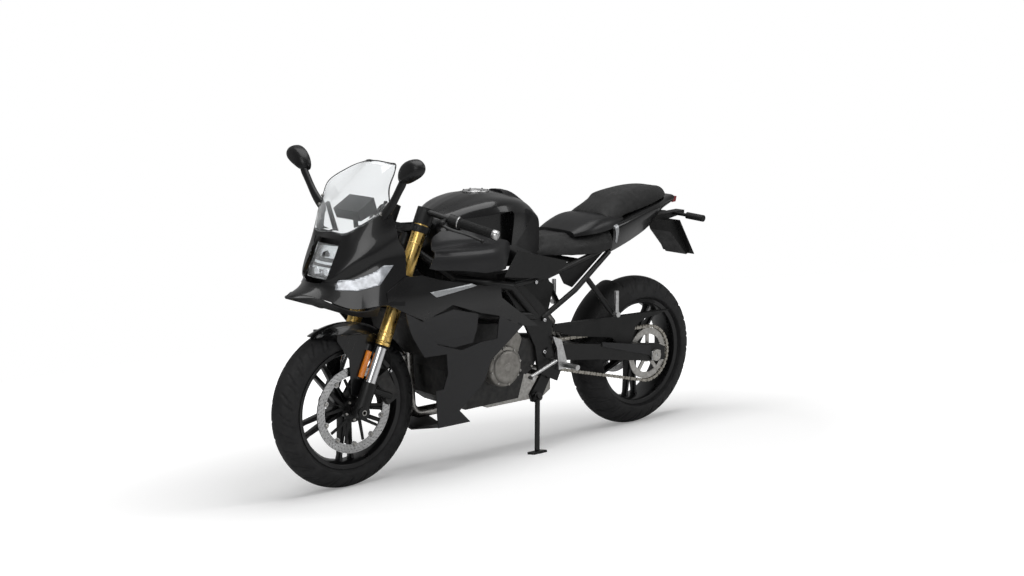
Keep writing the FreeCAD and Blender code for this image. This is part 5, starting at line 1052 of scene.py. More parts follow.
def chain_place(share):
    """A point and a direction of the chain's pitch line."""
    span = front_sprocket - rear_centre
    tilt = math.asin((REAR_PITCH - FRONT_PITCH) / span.length)
    rise = math.atan2(span.z, span.x)
    run_length = span.length * math.cos(tilt)
    up_angle, down_angle = rise + math.pi / 2 - tilt, rise - math.pi / 2 + tilt
    front_arc, rear_arc = FRONT_PITCH * (math.pi - 2 * tilt), REAR_PITCH * (math.pi + 2 * tilt)
    place = (share % 1.0) * (2 * run_length + front_arc + rear_arc)

    def ray(angle):
        return Vector((math.cos(angle), 0, math.sin(angle)))

    if place < run_length:
        out = ray(up_angle)
        return rear_centre + out * REAR_PITCH + Vector((out.z, 0, -out.x)) * place, out
    place -= run_length
    if place < front_arc:
        out = ray(up_angle - place / FRONT_PITCH)
        return front_sprocket + out * FRONT_PITCH, out
    place -= front_arc
    if place < run_length:
        out = ray(down_angle)
        return front_sprocket + out * FRONT_PITCH + Vector((out.z, 0, -out.x)) * place, out
    out = ray(down_angle - (place - run_length) / REAR_PITCH)
    return rear_centre + out * REAR_PITCH, out


def link_plate(start, end, y_low, y_high, half):
    """A figure-eight plate between two pins."""
    along = (end - start).normalized()
    across = along.cross(LEFT)
    outline = []
    for centre, turn in ((end, -1), (start, 1)):
        for angle in (turn * math.pi / 2 + math.pi * i / 4 for i in range(5)):
            outline.append(centre + (along * math.cos(angle) + across * math.sin(angle)) * half)
        outline.append((start + end) / 2 - across * (half * 0.66 * turn))
    return stacked([[p + LEFT * y for p in outline] for y in (y_low, y_high)])


plates, pins = [], []
for number in range(LINKS):
    here, ahead = chain_place(number / LINKS)[0], chain_place((number + 1) / LINKS)[0]
    reach = 0.0085 if number % 2 else 0.0062
    for side in (-1, 1):
        y = CHAIN_Y + side * reach
        plates.append(link_plate(here, ahead, y - 0.0009, y + 0.0009, 0.0066))
    pin_centre = here + LEFT * CHAIN_Y
    pins.append(lathe([(-0.0100, 0), (-0.0100, 0.0026), (0.0100, 0.0026), (0.0100, 0)], pin_centre, LEFT, 8))
    pins.append(lathe([(-0.0050, 0.0045), (0.0050, 0.0045)], pin_centre, LEFT, 10))
chain = piece("chain_links", *joined(plates), "chassis", chain_steel, smooth=False)
sprocket_disc = lathe([(-0.003, 0), (-0.003, 0.030), (0.003, 0.030), (0.003, 0)],
                      front_sprocket + LEFT * CHAIN_Y, LEFT, 24)
pin_piece = piece("chain_pins", *joined(pins + [sprocket_disc]), "chassis", steel)
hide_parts("chain")
print("chain faces", len(chain.data.polygons) + len(pin_piece.data.polygons))

# %% [markdown]
# ## Padded seats
# The solids of the seats are hard-edged. Each is lofted anew, made an even skin
# of small cells and blown up a little by a cloth simulation with pressure, its
# underside held still. A cap keeps every point near its start. The seam and its
# stitches come last, laid on the finished surface.
# %% Pad the two seats
PRESSURE = 4
CLOTH_FRAMES = 20


def padded_seat(name, solid, sections, cap, shrink):
    """A seat blown up from slightly inside its loft, by no more than the cap."""
    seat = piece(name, *stacked(loft_rings(sections)), "chassis", seat_vinyl)
    skin = seat.modifiers.new("skin", "REMESH")
    skin.mode, skin.voxel_size = "VOXEL", 0.005
    bake(seat)
    mesh = seat.data
    starts = [v.co - v.normal * shrink for v in mesh.vertices]
    hold = seat.vertex_groups.new(name="underside")
    for vertex, place in zip(mesh.vertices, starts):
        if vertex.normal.z < -0.25:
            hold.add([vertex.index], 1.0, "REPLACE")
        vertex.co = place
    cloth = seat.modifiers.new("padding", "CLOTH")
    cloth.settings.use_pressure = True
    cloth.settings.uniform_pressure_force = PRESSURE
    cloth.settings.vertex_group_mass = "underside"
    cloth.settings.effector_weights.gravity = 0
    for number in range(1, CLOTH_FRAMES + 1):
        bpy.context.scene.frame_set(number)
    bake(seat)
    bpy.context.scene.frame_set(1)
    for vertex, place in zip(seat.data.vertices, starts):
        move = vertex.co - place
        if move.length > cap:
            vertex.co = place + move * (cap / move.length)
    relax = seat.modifiers.new("relax", "SMOOTH")
    relax.iterations, relax.factor = 6, 0.5
    smooth = seat.modifiers.new("finish", "SUBSURF")
    smooth.levels = smooth.render_levels = 1
    bake(seat)
    seat.data.shade_smooth()
    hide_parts(solid)
    return seat


def dropped(tree, path, lift=0.0, way=(0, 0, -1)):
    """A path laid on a surface along one direction."""
    way = Vector(way)
    laid = []
    for place in path:
        hit = tree.ray_cast(Vector(place) - way * 1.6, way)[0]
        if hit:
            laid.append(hit - way * lift)
    return laid


def stitch_row(path, gap=0.0065, radius=0.0006):
    """Short threads that follow a path, with a small space between them."""
    parts, left_over = [], 0.0
    for a, b in zip(path, path[1:]):
        run_here = (b - a).length
        place = left_over
        while place + gap * 0.6 < run_here:
            start, end = a.lerp(b, place / run_here), a.lerp(b, (place + gap * 0.6) / run_here)
            parts.append(pipe([start, end], radius, 6))
            place += gap
        left_over = max(0.0, place - run_here)
    return joined(parts)


RIDER = (
    (0.420, ((0, 0.840), (0.24, 0.836), (0.36, 0.815), (0.40, 0.780), (0, 0.780))),
    (0.342, ((0, 0.842), (0.34, 0.840), (0.50, 0.818), (0.54, 0.772), (0, 0.772))),
    (0.250, ((0, 0.846), (0.42, 0.846), (0.58, 0.822), (0.60, 0.765), (0, 0.765))),
    (0.168, ((0, 0.868), (0.44, 0.866), (0.60, 0.838), (0.60, 0.778), (0, 0.778))))
PILLION = (
    (0.172, ((0, 0.918), (0.34, 0.915), (0.48, 0.900), (0.50, 0.885), (0, 0.868))),
    (0.116, ((0, 0.964), (0.34, 0.960), (0.46, 0.925), (0.48, 0.895), (0, 0.885))),
    (0.095, ((0, 0.986), (0.32, 0.982), (0.44, 0.940), (0.46, 0.903), (0, 0.893))),
    (0.000, ((0, 1.004), (0.30, 1.000), (0.40, 0.965), (0.40, 0.925), (0, 0.915))),
    (-0.074, ((0, 1.001), (0.22, 0.998), (0.30, 0.975), (0.30, 0.945), (0, 0.935))),
    (-0.107, ((0, 0.974), (0.14, 0.973), (0.18, 0.966), (0.18, 0.952), (0, 0.945))))
rider = padded_seat("rider_pad", "rider_seat", RIDER, 0.010, 0.004)
pillion = padded_seat("pillion_pad", "pillion_seat", PILLION, 0.008, 0.003)
seat_tree, pillion_tree = tree_of(rider), tree_of(pillion)


def seam(name, tree, rail):
    """A round welt between two rows of stitches, over the width of a seat."""
    welt = dropped(tree, smooth_path(rail, 10), -0.0004)
    rows = []
    for off in (-0.0055, 0.0055):
        moved = [Vector(p) + Vector((off, 0, 0)) for p in rail]
        rows.append(stitch_row(dropped(tree, smooth_path(moved, 12), 0.0004)))
    piece(name, *pipe(welt, 0.0019, 8), "chassis", seat_vinyl)
    piece(name + "_stitches", *joined(rows), "chassis", thread)


thread = finish("seat_thread", (0.035, 0.035, 0.036), 0.65, rough=(0.55, 0.75, 900))
seat_low, seat_high = [Vector(c) for c in (rider.bound_box[0], rider.bound_box[6])]
back_x, side_y = seat_low.x + 0.045, min(0.095, seat_high.y * 0.72)
seam("rider_seam", seat_tree,
     [(back_x - 0.012, -side_y, 0), (back_x + 0.004, -side_y / 2, 0), (back_x + 0.012, 0, 0),
      (back_x + 0.004, side_y / 2, 0), (back_x - 0.012, side_y, 0)])
low, high = [Vector(c) for c in (pillion.bound_box[0], pillion.bound_box[6])]
half = high.y * 0.66
seam("pillion_seam", pillion_tree,
     [(low.x + 0.040, -half, 0), (low.x + 0.050, 0, 0), (low.x + 0.040, half, 0)])
print("rider seat", len(rider.data.polygons), "pillion", len(pillion.data.polygons))

# %% [markdown]
# ## Screws, plugs and bolt rings
# Fixings tell the size of a machine. Those at measured places come from the
# photograph; rings of screws follow the round covers and clamps that they hold.
# Each group is one mesh, so the scene stays light.
# %% Place the fixings
trees = {name: surface_of(name) for name in ("main_frame", "subframe", "swingarm", "rider_pegs", "engine")}
trees["tank_panels"] = tree_of(panels["side_cover"])
trees["inner_covers"] = tree_of(bpy.data.objects["air_box"])
DRUM = Vector((0.835, 0, 0.388))
BRIGHT = ((0.668, 0.693), (0.625, 0.540), (0.619, 0.412), (0.476, 0.658), (0.349, 0.437))
for side, tag in ((-1, "right"), (1, "left")):
    away = LEFT * side
    laid = []
    for x, z in BRIGHT:
        hits = [tree.ray_cast(Vector((x, side * FAR_OUT, z)), -away)[0] for tree in trees.values()]
        hits = [hit for hit in hits if hit]
        if hits:
            laid.append(max(hits, key=lambda hit: abs(hit.y)))
    piece("bright_bolts_" + tag, *screws(laid, away, 0.0075, 16), "chassis", plated)
    ring = [p + away * (CASE_SIDE + 0.0500) for p in ring_of(DRUM, 0.0715, 8, 0.2)]
    piece("cover_screws_" + tag, *screws(ring, away, 0.0045), "chassis", steel)

fork_up = (fork_place(0, 0, 1) - fork_place(0, 0, 0)).normalized()
fork_back = fork_place(-1, 0, 0) - fork_place(0, 0, 0)
CLAMP_SCREW = [(-0.010, 0.0), (-0.010, 0.0055), (0.004, 0.0055), (0.0052, 0.0046), (0.0052, 0.0028),
               (0.002, 0.0027), (0.002, 0.0)]
FORK_CAP = [(0, 0.0), (0, 0.0245), (0.006, 0.0245), (0.0075, 0.023), (0.0075, 0.014),
            (0.005, 0.0135), (0.005, 0)]
CAP_HEX = [(0, 0.0085), (0.013, 0.0085), (0.0135, 0.0070), (0.0135, 0)]


def on_forks(profile, alongs, direction, steps, ahead=0.0):
    """A turned form at places along both legs."""
    return joined([lathe(profile, fork_place(ahead, side * FORK_HALF, along), direction, steps)
                   for side in (-1, 1) for along in alongs])


clamp_heads = on_forks(CLAMP_SCREW, (0.482, 0.496, 0.682), fork_back, 12, -0.030)
piece("clamp_screws", *clamp_heads, "steering", plated)
caps = [on_forks(FORK_CAP, (0.746,), fork_up, 32), on_forks(CAP_HEX, (0.748,), fork_up, 6)]
piece("fork_caps", *joined(caps), "steering", gold)
print("fixings placed")

# %% [markdown]
# ## Fork tubes and brake line
# The gold tubes show shallow turned bands near both ends. A black hose runs from
# the caliper up to the lower clamp with a banjo fitting at its foot; both ends are
# fixed and it rides on the steering.
# %% Bands, seals and hose
bands = []
for along, half_height in ((0.262, 0.006), (0.286, 0.0015), (0.300, 0.0015), (0.640, 0.0015)):
    band = [(-half_height - 0.001, 0.0266), (-half_height, 0.0282), (half_height, 0.0282),
            (half_height + 0.001, 0.0266)]
    bands.append(on_forks(band, (along,), fork_up, 40))
piece("fork_bands", *joined(bands), "steering", gold)
SEAL = [(0, 0.0205), (0, 0.0262), (0.007, 0.0262), (0.009, 0.0235), (0.009, 0.0205)]
piece("fork_seals", *on_forks(SEAL, (0.243,), fork_up, 40), "steering", rubber)

line = smooth_path([fork_place(*place) for place in (
    (-0.085, 0.078, 0.176), (-0.078, 0.088, 0.205), (-0.040, 0.078, 0.262),
    (-0.034, 0.066, 0.34), (-0.036, 0.052, 0.42), (-0.042, 0.040, 0.478))], 10)
piece("front_brake_line", *pipe(line, 0.0042, 12), "steering", rubber)
banjo = lathe([(-0.006, 0), (-0.006, 0.0085), (0.006, 0.0085), (0.006, 0)], line[0], LEFT, 20)
union = lathe([(-0.002, 0), (-0.002, 0.0062), (0.012, 0.0062), (0.014, 0.0050), (0.014, 0)],
              line[0] + LEFT * 0.004, LEFT, 6)
piece("brake_line_banjo", *joined([banjo, union]), "steering", plated)
print("brake line points", len(line))

# %% [markdown]
# ## Mirrors
# The mirror heads are soft drops on flat arms. The outline that the solid has is
# drawn again as rings that shrink towards the front, and subdivision rounds it.
# The glass sits in a shallow rim on the rider's side.
# %% Model the mirrors
HEAD = [(1.18, 1.130), (1.36, 1.146), (1.56, 1.168), (1.64, 1.190), (1.62, 1.212), (1.50, 1.228),
        (1.34, 1.222), (1.20, 1.198), (1.13, 1.160)]
HEAD_CENTRE = Vector((0.965 * WHEELBASE, 0.350, 1.185))


def head_ring(size, x):
    """The head's outline, sized about its middle and moved forward by x."""
    ring = [Vector((HEAD_CENTRE.x, y * HALF_BODY, z)) for y, z in HEAD]
    return [HEAD_CENTRE + (edge - HEAD_CENTRE) * size + Vector((x, 0, 0)) for edge in ring]


heads = stacked([head_ring(size, x) for size, x in (
    (0.80, -0.0150), (0.93, -0.0165), (0.985, -0.0225), (1.035, -0.0200),
    (1.045, -0.006), (0.97, 0.009), (0.76, 0.0205), (0.40, 0.0255))])
arms = []
for y, half_x, z_low, z_high in (
        (0.66, 0.0140, 0.972, 1.030), (0.90, 0.0135, 1.012, 1.064), (1.05, 0.0125, 1.058, 1.110),
        (1.18, 0.0125, 1.102, 1.158), (1.30, 0.0135, 1.132, 1.186)):
    corners = ((-half_x, z_low), (half_x, z_low), (half_x, z_high), (-half_x, z_high))
    arms.append([Vector((HEAD_CENTRE.x + x, y * HALF_BODY, z)) for x, z in corners])
mirror_piece = piece("mirror_heads", *both_sides(*joined([heads, stacked(arms)])), "chassis", satin_plastic)
softened(mirror_piece, 2)
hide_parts("mirrors")
glass = stacked([head_ring(0.86, -0.0168), head_ring(0.86, -0.0186)])
glass_piece = piece("mirror_glass", *both_sides(*glass), "chassis", mirror_glass)
softened(glass_piece, 2)
print("mirror faces", len(mirror_piece.data.polygons))

# %% [markdown]
# ## Head lamp
# The lamp is a thin clear cover before a dark box: a bright upper reflector, a dark
# rib, two bright bars, and two projector lenses before a lower reflector.
# %% Model the lamps
reflector = finish("lamp_reflector", (0.82, 0.83, 0.84), 0.18, 1.0, rough=(0.10, 0.26, 120),
                   bump=(420, 0.0010, 0.35), cells=True)
lamp_white = finish("lamp_white", (0.86, 0.88, 0.90), 0.30, Coat_Weight=0.6, Coat_Roughness=0.05,
                    tones=((0.80, 0.82, 0.84), (0.93, 0.94, 0.95), 220), bump=(500, 0.0004, 0.3),
                    cells=True)

LAMP_HALF = 0.0735
LAMP_LINE = ((1.040, 0.906), (1.053, 0.862), (1.068, 0.815), (1.073, 0.786))
lamp_line = [Vector((x * WHEELBASE, 0, z)) for x, z in LAMP_LINE]


def lamp_face(steps, back, half, from_share=0.0, to_share=1.0):
    """A bowed sheet that follows the lamp's front line, set back by some distance."""
    total = len(lamp_line) - 1
    rings = []
    for i in range(steps + 1):
        t = (from_share + (to_share - from_share) * i / steps) * total
        k = min(int(t), total - 1)
        place = lamp_line[k].lerp(lamp_line[k + 1], t - k)
        rings.append([place + Vector((-back - 0.010 * (y / LAMP_HALF) ** 2, y, 0))
                      for y in (half * (j / 8 - 1) for j in range(17))])
    return grid(rings)


cover = piece("lamp_cover", *lamp_face(12, 0.0, LAMP_HALF), "chassis", lens_clear)
walled(cover, 0.0020)
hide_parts("headlight")
LAMP_BOX = [(1.440, 0.940), (1.488, 0.940), (1.492, 0.900), (1.524, 0.800), (1.528, 0.768),
            (1.440, 0.768)]
box = piece("lamp_box", *prism(LAMP_BOX, -0.080, 0.080), "chassis", satin_plastic, smooth=False)
rounded(box, 0.003, 2)
for name, back, half_width, low_share, high_share, material in (
        ("lamp_upper", 0.014, 0.060, 0.04, 0.38, reflector),
        ("lamp_rib", 0.010, 0.066, 0.41, 0.44, satin_plastic),
        ("lamp_bar_upper", 0.012, 0.062, 0.47, 0.53, lamp_white),
        ("lamp_bar_lower", 0.012, 0.062, 0.60, 0.66, lamp_white),
        ("lamp_lower", 0.030, 0.062, 0.68, 0.98, reflector)):
    part = piece(name, *lamp_face(6, back, half_width, low_share, high_share), "chassis", material)
    walled(part, 0.004)
PROJECTOR = [(-0.012, 0.0), (-0.012, 0.019), (0.002, 0.0205), (0.004, 0.0185), (0.0045, 0.014),
             (0.0085, 0.0095), (0.0105, 0.0045), (0.011, 0.0)]
projectors = [lathe(PROJECTOR, Vector((1.071 * WHEELBASE - 0.020, y, 0.803)), (1, 0, -0.15), 32)
              for y in (0.030, -0.030)]
piece("lamp_projectors", *joined(projectors), "chassis", plated)
print("lamp ready")

# %% [markdown]
# ## Sheets laid on the bodywork
# A thin sheet with any outline is triangulated, and each of its points drops onto
# the surface behind it. The daylight lamps, the pale stripe on the side and the
# tail's trim are made this way. Two bolts a side find the windscreen's surface.
# %% Lay lamps, stripe and trims
def overlay(outline, tree, lift, gap, limit=None):
    """A sheet over a surface; points that find it nearer the middle than the limit don't count."""
    ring = []
    corners = [Vector((x * WHEELBASE, z)) for x, z in outline]
    for a, b in zip(corners, corners[1:] + corners[:1]):
        steps = max(1, int((b - a).length / gap))
        ring += [a.lerp(b, i / steps) for i in range(steps)]
    count = len(ring)
    low = Vector((min(p.x for p in ring), min(p.y for p in ring)))
    high = Vector((max(p.x for p in ring), max(p.y for p in ring)))
    inner = [Vector((low.x + gap * (i + 0.5), low.y + gap * (j + 0.5)))
             for i in range(int((high.x - low.x) / gap)) for j in range(int((high.y - low.y) / gap))]
    flat, _, faces, *_ = delaunay_2d_cdt(ring + inner, [], [list(range(count))], 1, 1e-5)
    points, last = [], 0.2
    for p in flat:
        hit = tree.ray_cast(Vector((p.x, FAR_OUT, p.y)), RIGHT)[0]
        last = hit.y if hit and (limit is None or hit.y > limit) else last
        points.append(Vector((p.x, last + lift, p.y)))
    return points, [tuple(face) for face in faces]


def laid_piece(name, outline, surface, lift, thickness, material, gap=0.006, limit=None):
    """The sheet on both sides, with a thickness."""
    form = both_sides(*overlay(outline, tree_of(surface), lift, gap, limit))
    return walled(piece(name, *form, "chassis", material), thickness)


opal = finish("opal_lamp", (0.34, 0.36, 0.38), 0.25, 0.35, Coat_Weight=0.8, Coat_Roughness=0.05,
              tones=((0.26, 0.27, 0.29), (0.46, 0.48, 0.51), 40), bump=(500, 0.0004, 0.3),
              cells=True)
pale_print = finish("pale_print", (0.36, 0.37, 0.38), 0.32, 0.6,
                    tones=((0.30, 0.31, 0.32), (0.42, 0.43, 0.44), 300), rough=(0.26, 0.42, 140))

DAYLIGHT = ((1.070, 0.757), (1.060, 0.791), (1.032, 0.793), (0.999, 0.816), (0.973, 0.843),
            (0.953, 0.842), (0.992, 0.777), (1.032, 0.755))
STRIPE = ((0.864, 0.735), (0.725, 0.743), (0.706, 0.731), (0.845, 0.714))
TRIM = ((0.162, 0.880), (0.150, 0.801), (0.140, 0.795), (0.146, 0.878))
strips = laid_piece("daylight_strips", DAYLIGHT, nose, 0.002, 0.004, opal, limit=0.05)
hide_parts("daylight_lamps")
laid_piece("side_stripe", STRIPE, panels["upper"], 0.0009, 0.0006, pale_print)
laid_piece("tail_trim", TRIM, tail, 0.0012, 0.0010, pale_print)
screen_tree = tree_of(screen)
for side, tag in ((1, "left"), (-1, "right")):
    spots = [screen_tree.ray_cast(Vector((x * WHEELBASE, FAR_OUT, z)), RIGHT)[0]
             for x, z in ((0.958, 1.052), (0.972, 1.022))]
    spots = [Vector((p.x, p.y * side, p.z)) for p in spots if p]
    way = Vector((0.5, side, 0.2)).normalized()
    piece("screen_bolts_" + tag, *screws(spots, way, 0.0055, 14), "chassis", steel)
print("laid sheets ready")

# %% [markdown]
# ## Handlebar ends
# Ribbed grips, turned weights, a bright ring at each switch pod and curved levers
# with ball tips. The left bar's direction is set once and everything is mirrored.
# %% Model grips, weights and levers
bar_root = fork_place(0.006, 0.139, 0.7608)
back, down = math.radians(32), math.radians(16)
bar_way = Vector((-math.sin(back) * math.cos(down), math.cos(back) * math.cos(down), -math.sin(down)))
level = bar_way.cross(Vector((0, 0, 1))).normalized()
droop = math.radians(28)
lever_way = level * math.cos(droop) - level.cross(bar_way) * math.sin(droop)


def on_bar(distance, ahead=0.0):
    """A point by the left bar, so far out along it and so far ahead of it."""
    return bar_root + bar_way * distance + lever_way * ahead


ribs = [(0.117, 0.0), (0.117, 0.0195), (0.1195, 0.0200), (0.121, 0.0178)]
for i in range(26):
    start = 0.1225 + i * 0.0046
    ribs += [(start, 0.0164), (start + 0.0010, 0.0174), (start + 0.0032, 0.0174), (start + 0.0042, 0.0164)]
ribs += [(0.2445, 0.0172), (0.2450, 0.0)]
grip_piece = piece("ribbed_grips", *both_sides(*lathe(ribs, bar_root, bar_way, 36)), "steering", rubber)
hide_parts("grips")
weight = [(0.2455, 0.0), (0.2455, 0.0150), (0.247, 0.0185), (0.262, 0.0190), (0.268, 0.0178),
          (0.271, 0.0140), (0.271, 0.0048), (0.2675, 0.0046), (0.2675, 0.0)]
piece("bar_end_weights", *both_sides(*lathe(weight, bar_root, bar_way, 36)), "steering", bare_alloy)
ring = [(0.1105, 0.0175), (0.1105, 0.0222), (0.1150, 0.0222), (0.1150, 0.0175)]
piece("pod_rings", *both_sides(*lathe(ring, bar_root, bar_way, 40)), "steering", bare_alloy)
LEVER = ((0.056, 0.030), (0.075, 0.043), (0.110, 0.050), (0.160, 0.047), (0.205, 0.050),
         (0.232, 0.054))
lever_line = smooth_path([on_bar(*place) for place in LEVER], 8)
parts = []
for i, place in enumerate(lever_line):
    share_here = i / (len(lever_line) - 1)
    ahead = (lever_line[min(i + 1, len(lever_line) - 1)] - lever_line[max(i - 1, 0)]).normalized()
    high = ahead.cross(lever_way).normalized()
    wide, deep = 0.0085 - 0.0030 * share_here, 0.0050 - 0.0012 * share_here
    parts.append([place + lever_way * (wide * math.cos(a)) + high * (deep * math.sin(a))
                  for a in (math.tau * k / 12 for k in range(12))])
ball = [(-0.0075, 0.0), (-0.006, 0.0045), (-0.002, 0.0072), (0.002, 0.0072), (0.006, 0.0045),
        (0.0075, 0.0)]
tip = lathe(ball, lever_line[-1], bar_way, 20)
perch = lathe([(-0.012, 0), (-0.012, 0.0095), (0.012, 0.0095), (0.012, 0)],
              on_bar(0.0654, 0.034), lever_way.cross(bar_way), 24)
post = pipe([on_bar(0.0654, 0.012), on_bar(0.0654, 0.036)], 0.0085, 14)
lever_form = both_sides(*joined([stacked(parts), tip, perch, post]))
levers = piece("curved_levers", *lever_form, "steering", frame_black)
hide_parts("hand_levers")
print("bar ends ready")

# %% [markdown]
# ## Filler cap and engine covers
# The filler cap is a bright ring with a lock and small screws, and it turns with
# its own joint. The clutch and generator covers are turned domes. A raised tower,
# the cover of the front sprocket and the axle's blocks are plates.
# %% Model the cap and the covers
UPRIGHT = (0, 0, 1)
cap_base = cap_place + Vector((0, 0, 0.0005))
lid = [(0, 0), (0, 0.051), (0.004, 0.052), (0.0065, 0.0505), (0.0072, 0.040), (0.0055, 0.0385),
       (0.0055, 0.034), (0.0085, 0.0325), (0.0095, 0.020), (0.0092, 0.011), (0.0085, 0.010),
       (0.0085, 0.0)]
back_x, front_x = cap_base.x - 0.004, cap_base.x + 0.030
tab = prism([(back_x, 1.049), (front_x, 1.049), (front_x, 1.0535), (back_x, 1.0535)], -0.007, 0.007)
cap = piece("filler_cap", *joined([lathe(lid, cap_base, UPRIGHT, 64), tab]), "fuel_cap", bare_alloy)
crisp(cap, 0.0006)
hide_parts("fuel_cap")
heads = [cap_base + Vector((0.0455 * math.cos(a), 0.0455 * math.sin(a), 0.0066))
         for a in (math.tau * i / 6 + 0.3 for i in range(6))]
piece("cap_screws", *screws(heads, UPRIGHT, 0.0032, 12), "fuel_cap", frame_black)

dome = [(0.0, 0.080), (0.036, 0.080), (0.046, 0.0775), (0.050, 0.0735), (0.0515, 0.066),
        (0.0545, 0.064), (0.060, 0.0625), (0.0645, 0.058), (0.0665, 0.050), (0.0675, 0.028),
        (0.0660, 0.0255), (0.0660, 0.017), (0.0690, 0.0155), (0.0690, 0.0)]
covers = [lathe(dome, Vector((DRUM.x, side * CASE_SIDE, DRUM.z)), LEFT * side, 72) for side in (-1, 1)]
cover_piece = piece("engine_domes", *joined(covers), "chassis", cast_grey)
crisp(cover_piece, 0.0015)
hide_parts("engine_covers")
TOWER = ((0.575, 0.455), (0.518, 0.519), (0.500, 0.480), (0.520, 0.400), (0.620, 0.400))
SPROCKET_COVER = ((0.438, 0.462), (0.438, 0.400), (0.452, 0.352), (0.478, 0.330), (0.510, 0.350),
                  (0.520, 0.440), (0.490, 0.478))
COVER_BOLTS = ((0.446, 0.452), (0.460, 0.360), (0.500, 0.352), (0.510, 0.432))
AXLE_BLOCK = ((-0.017, 0.293), (0.017, 0.293), (0.017, 0.331), (-0.017, 0.331))
cover_face = CASE_SIDE + 0.009
plate("cover_towers", TOWER, CASE_SIDE, CASE_SIDE + 0.024, cast_grey, 0.005)
plate("sprocket_cover", SPROCKET_COVER, CASE_SIDE, cover_face, cast_black, 0.003, pair=False)
spots = [Vector((x * WHEELBASE, cover_face, z)) for x, z in COVER_BOLTS]
piece("cover_bolts", *screws(spots, LEFT, 0.0050), "chassis", steel)
plate("axle_blocks", AXLE_BLOCK, 0.152, 0.158, bare_alloy, 0.002, 2)
print("cap and covers ready")

# %% [markdown]
# ## Chain guard and swingarm plates
# The guard covers the upper run and reaches down behind the sprocket. A slim raised
# plate runs along the arm to the axle.
# %% Model the guard and the plates
CHAIN_GUARD = (
    (0.371, 0.500), (0.210, 0.496), (0.126, 0.492), (-0.078, 0.484), (-0.025, 0.470), (0.018, 0.466),
    (0.056, 0.442), (0.078, 0.350), (0.105, 0.350), (0.150, 0.408), (0.303, 0.444), (0.351, 0.472),
    (0.371, 0.474))
GUARD_TOP = ((0.371, 0.496), (0.371, 0.500), (0.126, 0.492), (-0.078, 0.484), (-0.078, 0.481),
             (0.126, 0.488))
ARM_PLATE = ((0.209, 0.407), (0.020, 0.358), (0.016, 0.312), (0.209, 0.388))
guard_side = plate("chain_guard_blade", CHAIN_GUARD, 0.1145, 0.1185, moulded, 0.0015, 2, pair=False)
plate("chain_guard_top", GUARD_TOP, 0.092, 0.1150, moulded, 0.0008, 2, pair=False)
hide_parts("chain_guard")
plate("arm_plates", ARM_PLATE, 0.146, 0.1535, graphite, 0.003)
print("guard and plates ready")

# %% [markdown]
# ## The floor, the light and the camera
# The photograph is a studio shot on white. Rays from the camera and through glass
# see a white room, gloss sees a dim one, and the rest get a soft, weak light. The
# floor keeps the machine's shadow and glows for the camera further out, so that
# its edge isn't seen. Three large lamps light the machine: one above, one ahead
# and one behind on the left.
# %% Studio
SHARE_FOR_GLOSS = 0.16
ROOM_LIGHT = 0.20
GLOW_STARTS, GLOW_FULL = 1.1, 3.0  # metres from the middle of the floor
GLOW_NEAR, GLOW_FAR = 0.24, 1.0

scene = bpy.context.scene
scene.view_settings.view_transform = "Standard"


def white_to_camera(tree):
    """One for rays from the camera or through glass, and the rays' own node."""
    rays = node(tree, "LightPath").outputs
    either = {0: rays["Is Camera Ray"], 1: rays["Is Transmission Ray"]}
    return node(tree, "Math", either, operation="MAXIMUM").outputs[0], rays


world = bpy.data.worlds.new("studio")
scene.world = world
world.use_nodes = True
tree = world.node_tree
shown, rays = white_to_camera(tree)
gloss = node(tree, "Math", {0: rays["Is Glossy Ray"], 1: SHARE_FOR_GLOSS}, operation="MULTIPLY")
seen = node(tree, "Math", {0: shown, 1: gloss.outputs[0]}, operation="MAXIMUM")
strength = node(tree, "MapRange", {"To Min": ROOM_LIGHT, "To Max": 1.0, "Value": seen.outputs[0]})
background = tree.nodes["Background"]
background.inputs["Color"].default_value = (1, 1, 1, 1)
tree.links.new(strength.outputs["Result"], background.inputs["Strength"])

floor_mesh = bpy.data.meshes.new("floor")
floor_mesh.from_pydata([(-9, -9, 0), (9, -9, 0), (9, 9, 0), (-9, 9, 0)], [], [(0, 1, 2, 3)])
floor = bpy.data.objects.new("floor", floor_mesh)
scene.collection.objects.link(floor)
floor_white = finish("floor_white", (0.80, 0.80, 0.80), 0.9, Specular_IOR_Level=0.1)
tree = floor_white.node_tree
shown, rays = white_to_camera(tree)
reach = node(tree, "VectorMath", {0: node(tree, "TexCoord").outputs["Object"]}, operation="LENGTH")
fade = node(tree, "MapRange", {"From Min": GLOW_STARTS, "From Max": GLOW_FULL, "To Min": GLOW_NEAR,
                               "To Max": GLOW_FAR, "Value": reach.outputs["Value"]})
glow = node(tree, "Math", {0: fade.outputs["Result"], 1: shown}, operation="MULTIPLY")
shader = tree.nodes["Principled BSDF"]
shader.inputs["Emission Color"].default_value = (1, 1, 1, 1)
tree.links.new(glow.outputs[0], shader.inputs["Emission Strength"])
floor.data.materials.append(floor_white)
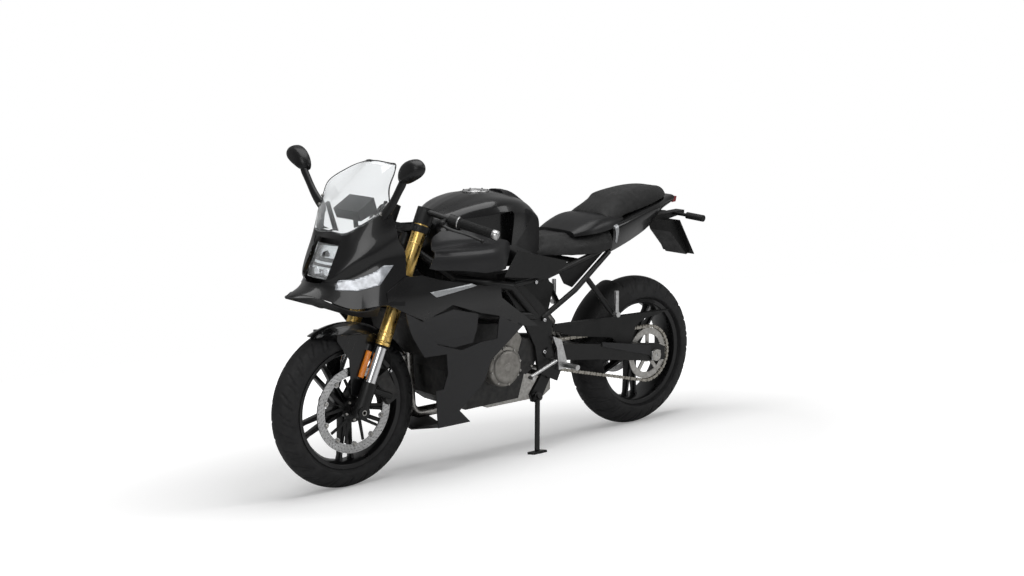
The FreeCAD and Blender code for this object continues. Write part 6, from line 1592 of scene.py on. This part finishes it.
floor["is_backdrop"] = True


def soft_lamp(name, place, aim, size, power):
    """A large square lamp that points at a place on the machine."""
    lamp = bpy.data.lights.new(name, "AREA")
    lamp.shape, lamp.size, lamp.energy = "SQUARE", size, power
    thing = bpy.data.objects.new(name, lamp)
    scene.collection.objects.link(thing)
    thing.location = place
    thing.rotation_euler = (Vector(aim) - Vector(place)).to_track_quat("-Z", "Y").to_euler()


soft_lamp("lamp_above", (0.2, 0.6, 3.6), (0, 0, 0.5), 3.0, 95)
soft_lamp("lamp_ahead", (3.2, 2.0, 1.9), (0.2, 0, 0.6), 1.6, 32)
soft_lamp("lamp_rear", (-2.6, 3.0, 2.2), (-0.3, 0, 0.6), 1.8, 34)

# %% [markdown]
# ## Camera
# The photograph's camera was worked out from the two wheels: where it stands, how
# far off and how long its lens is. It was found for the upright machine, so it is
# parked with the machine and rolls with it, which keeps every line of sight.
# %% Camera
CAMERA_TURN = 0.8618200
CAMERA_RISE = 0.1736501
CAMERA_DISTANCE = 6.551948
CAMERA_AIM = Vector((0.6482695, -0.0040761, 0.6456885))
PIXELS_WIDE = 1024
FOCAL_PIXELS = 1669.324
SENSOR_WIDE = 36.0

toward = Vector((math.cos(CAMERA_RISE) * math.cos(CAMERA_TURN),
                 math.cos(CAMERA_RISE) * math.sin(CAMERA_TURN), math.sin(CAMERA_RISE)))
camera = bpy.data.cameras.new("camera")
camera.sensor_width = SENSOR_WIDE
camera.lens = FOCAL_PIXELS * SENSOR_WIDE / PIXELS_WIDE
camera_thing = bpy.data.objects.new("camera", camera)
scene.collection.objects.link(camera_thing)
look = (-toward).to_track_quat("-Z", "Y").to_matrix().to_4x4()
look.translation = CAMERA_AIM + toward * CAMERA_DISTANCE
camera_thing.matrix_world = machine @ look
scene.camera = camera_thing
spot = camera_thing.matrix_world.translation
print("lens", round(camera.lens, 1), "camera at", [round(v, 2) for v in spot])

# %% [markdown]
# ## Measure and finish
# The last cell prints the size of the dressed machine, taken from the shown objects without the floor.
# %% Measure and finish
low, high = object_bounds()
print("visual box", [round(b - a, 3) for a, b in zip(low, high)])
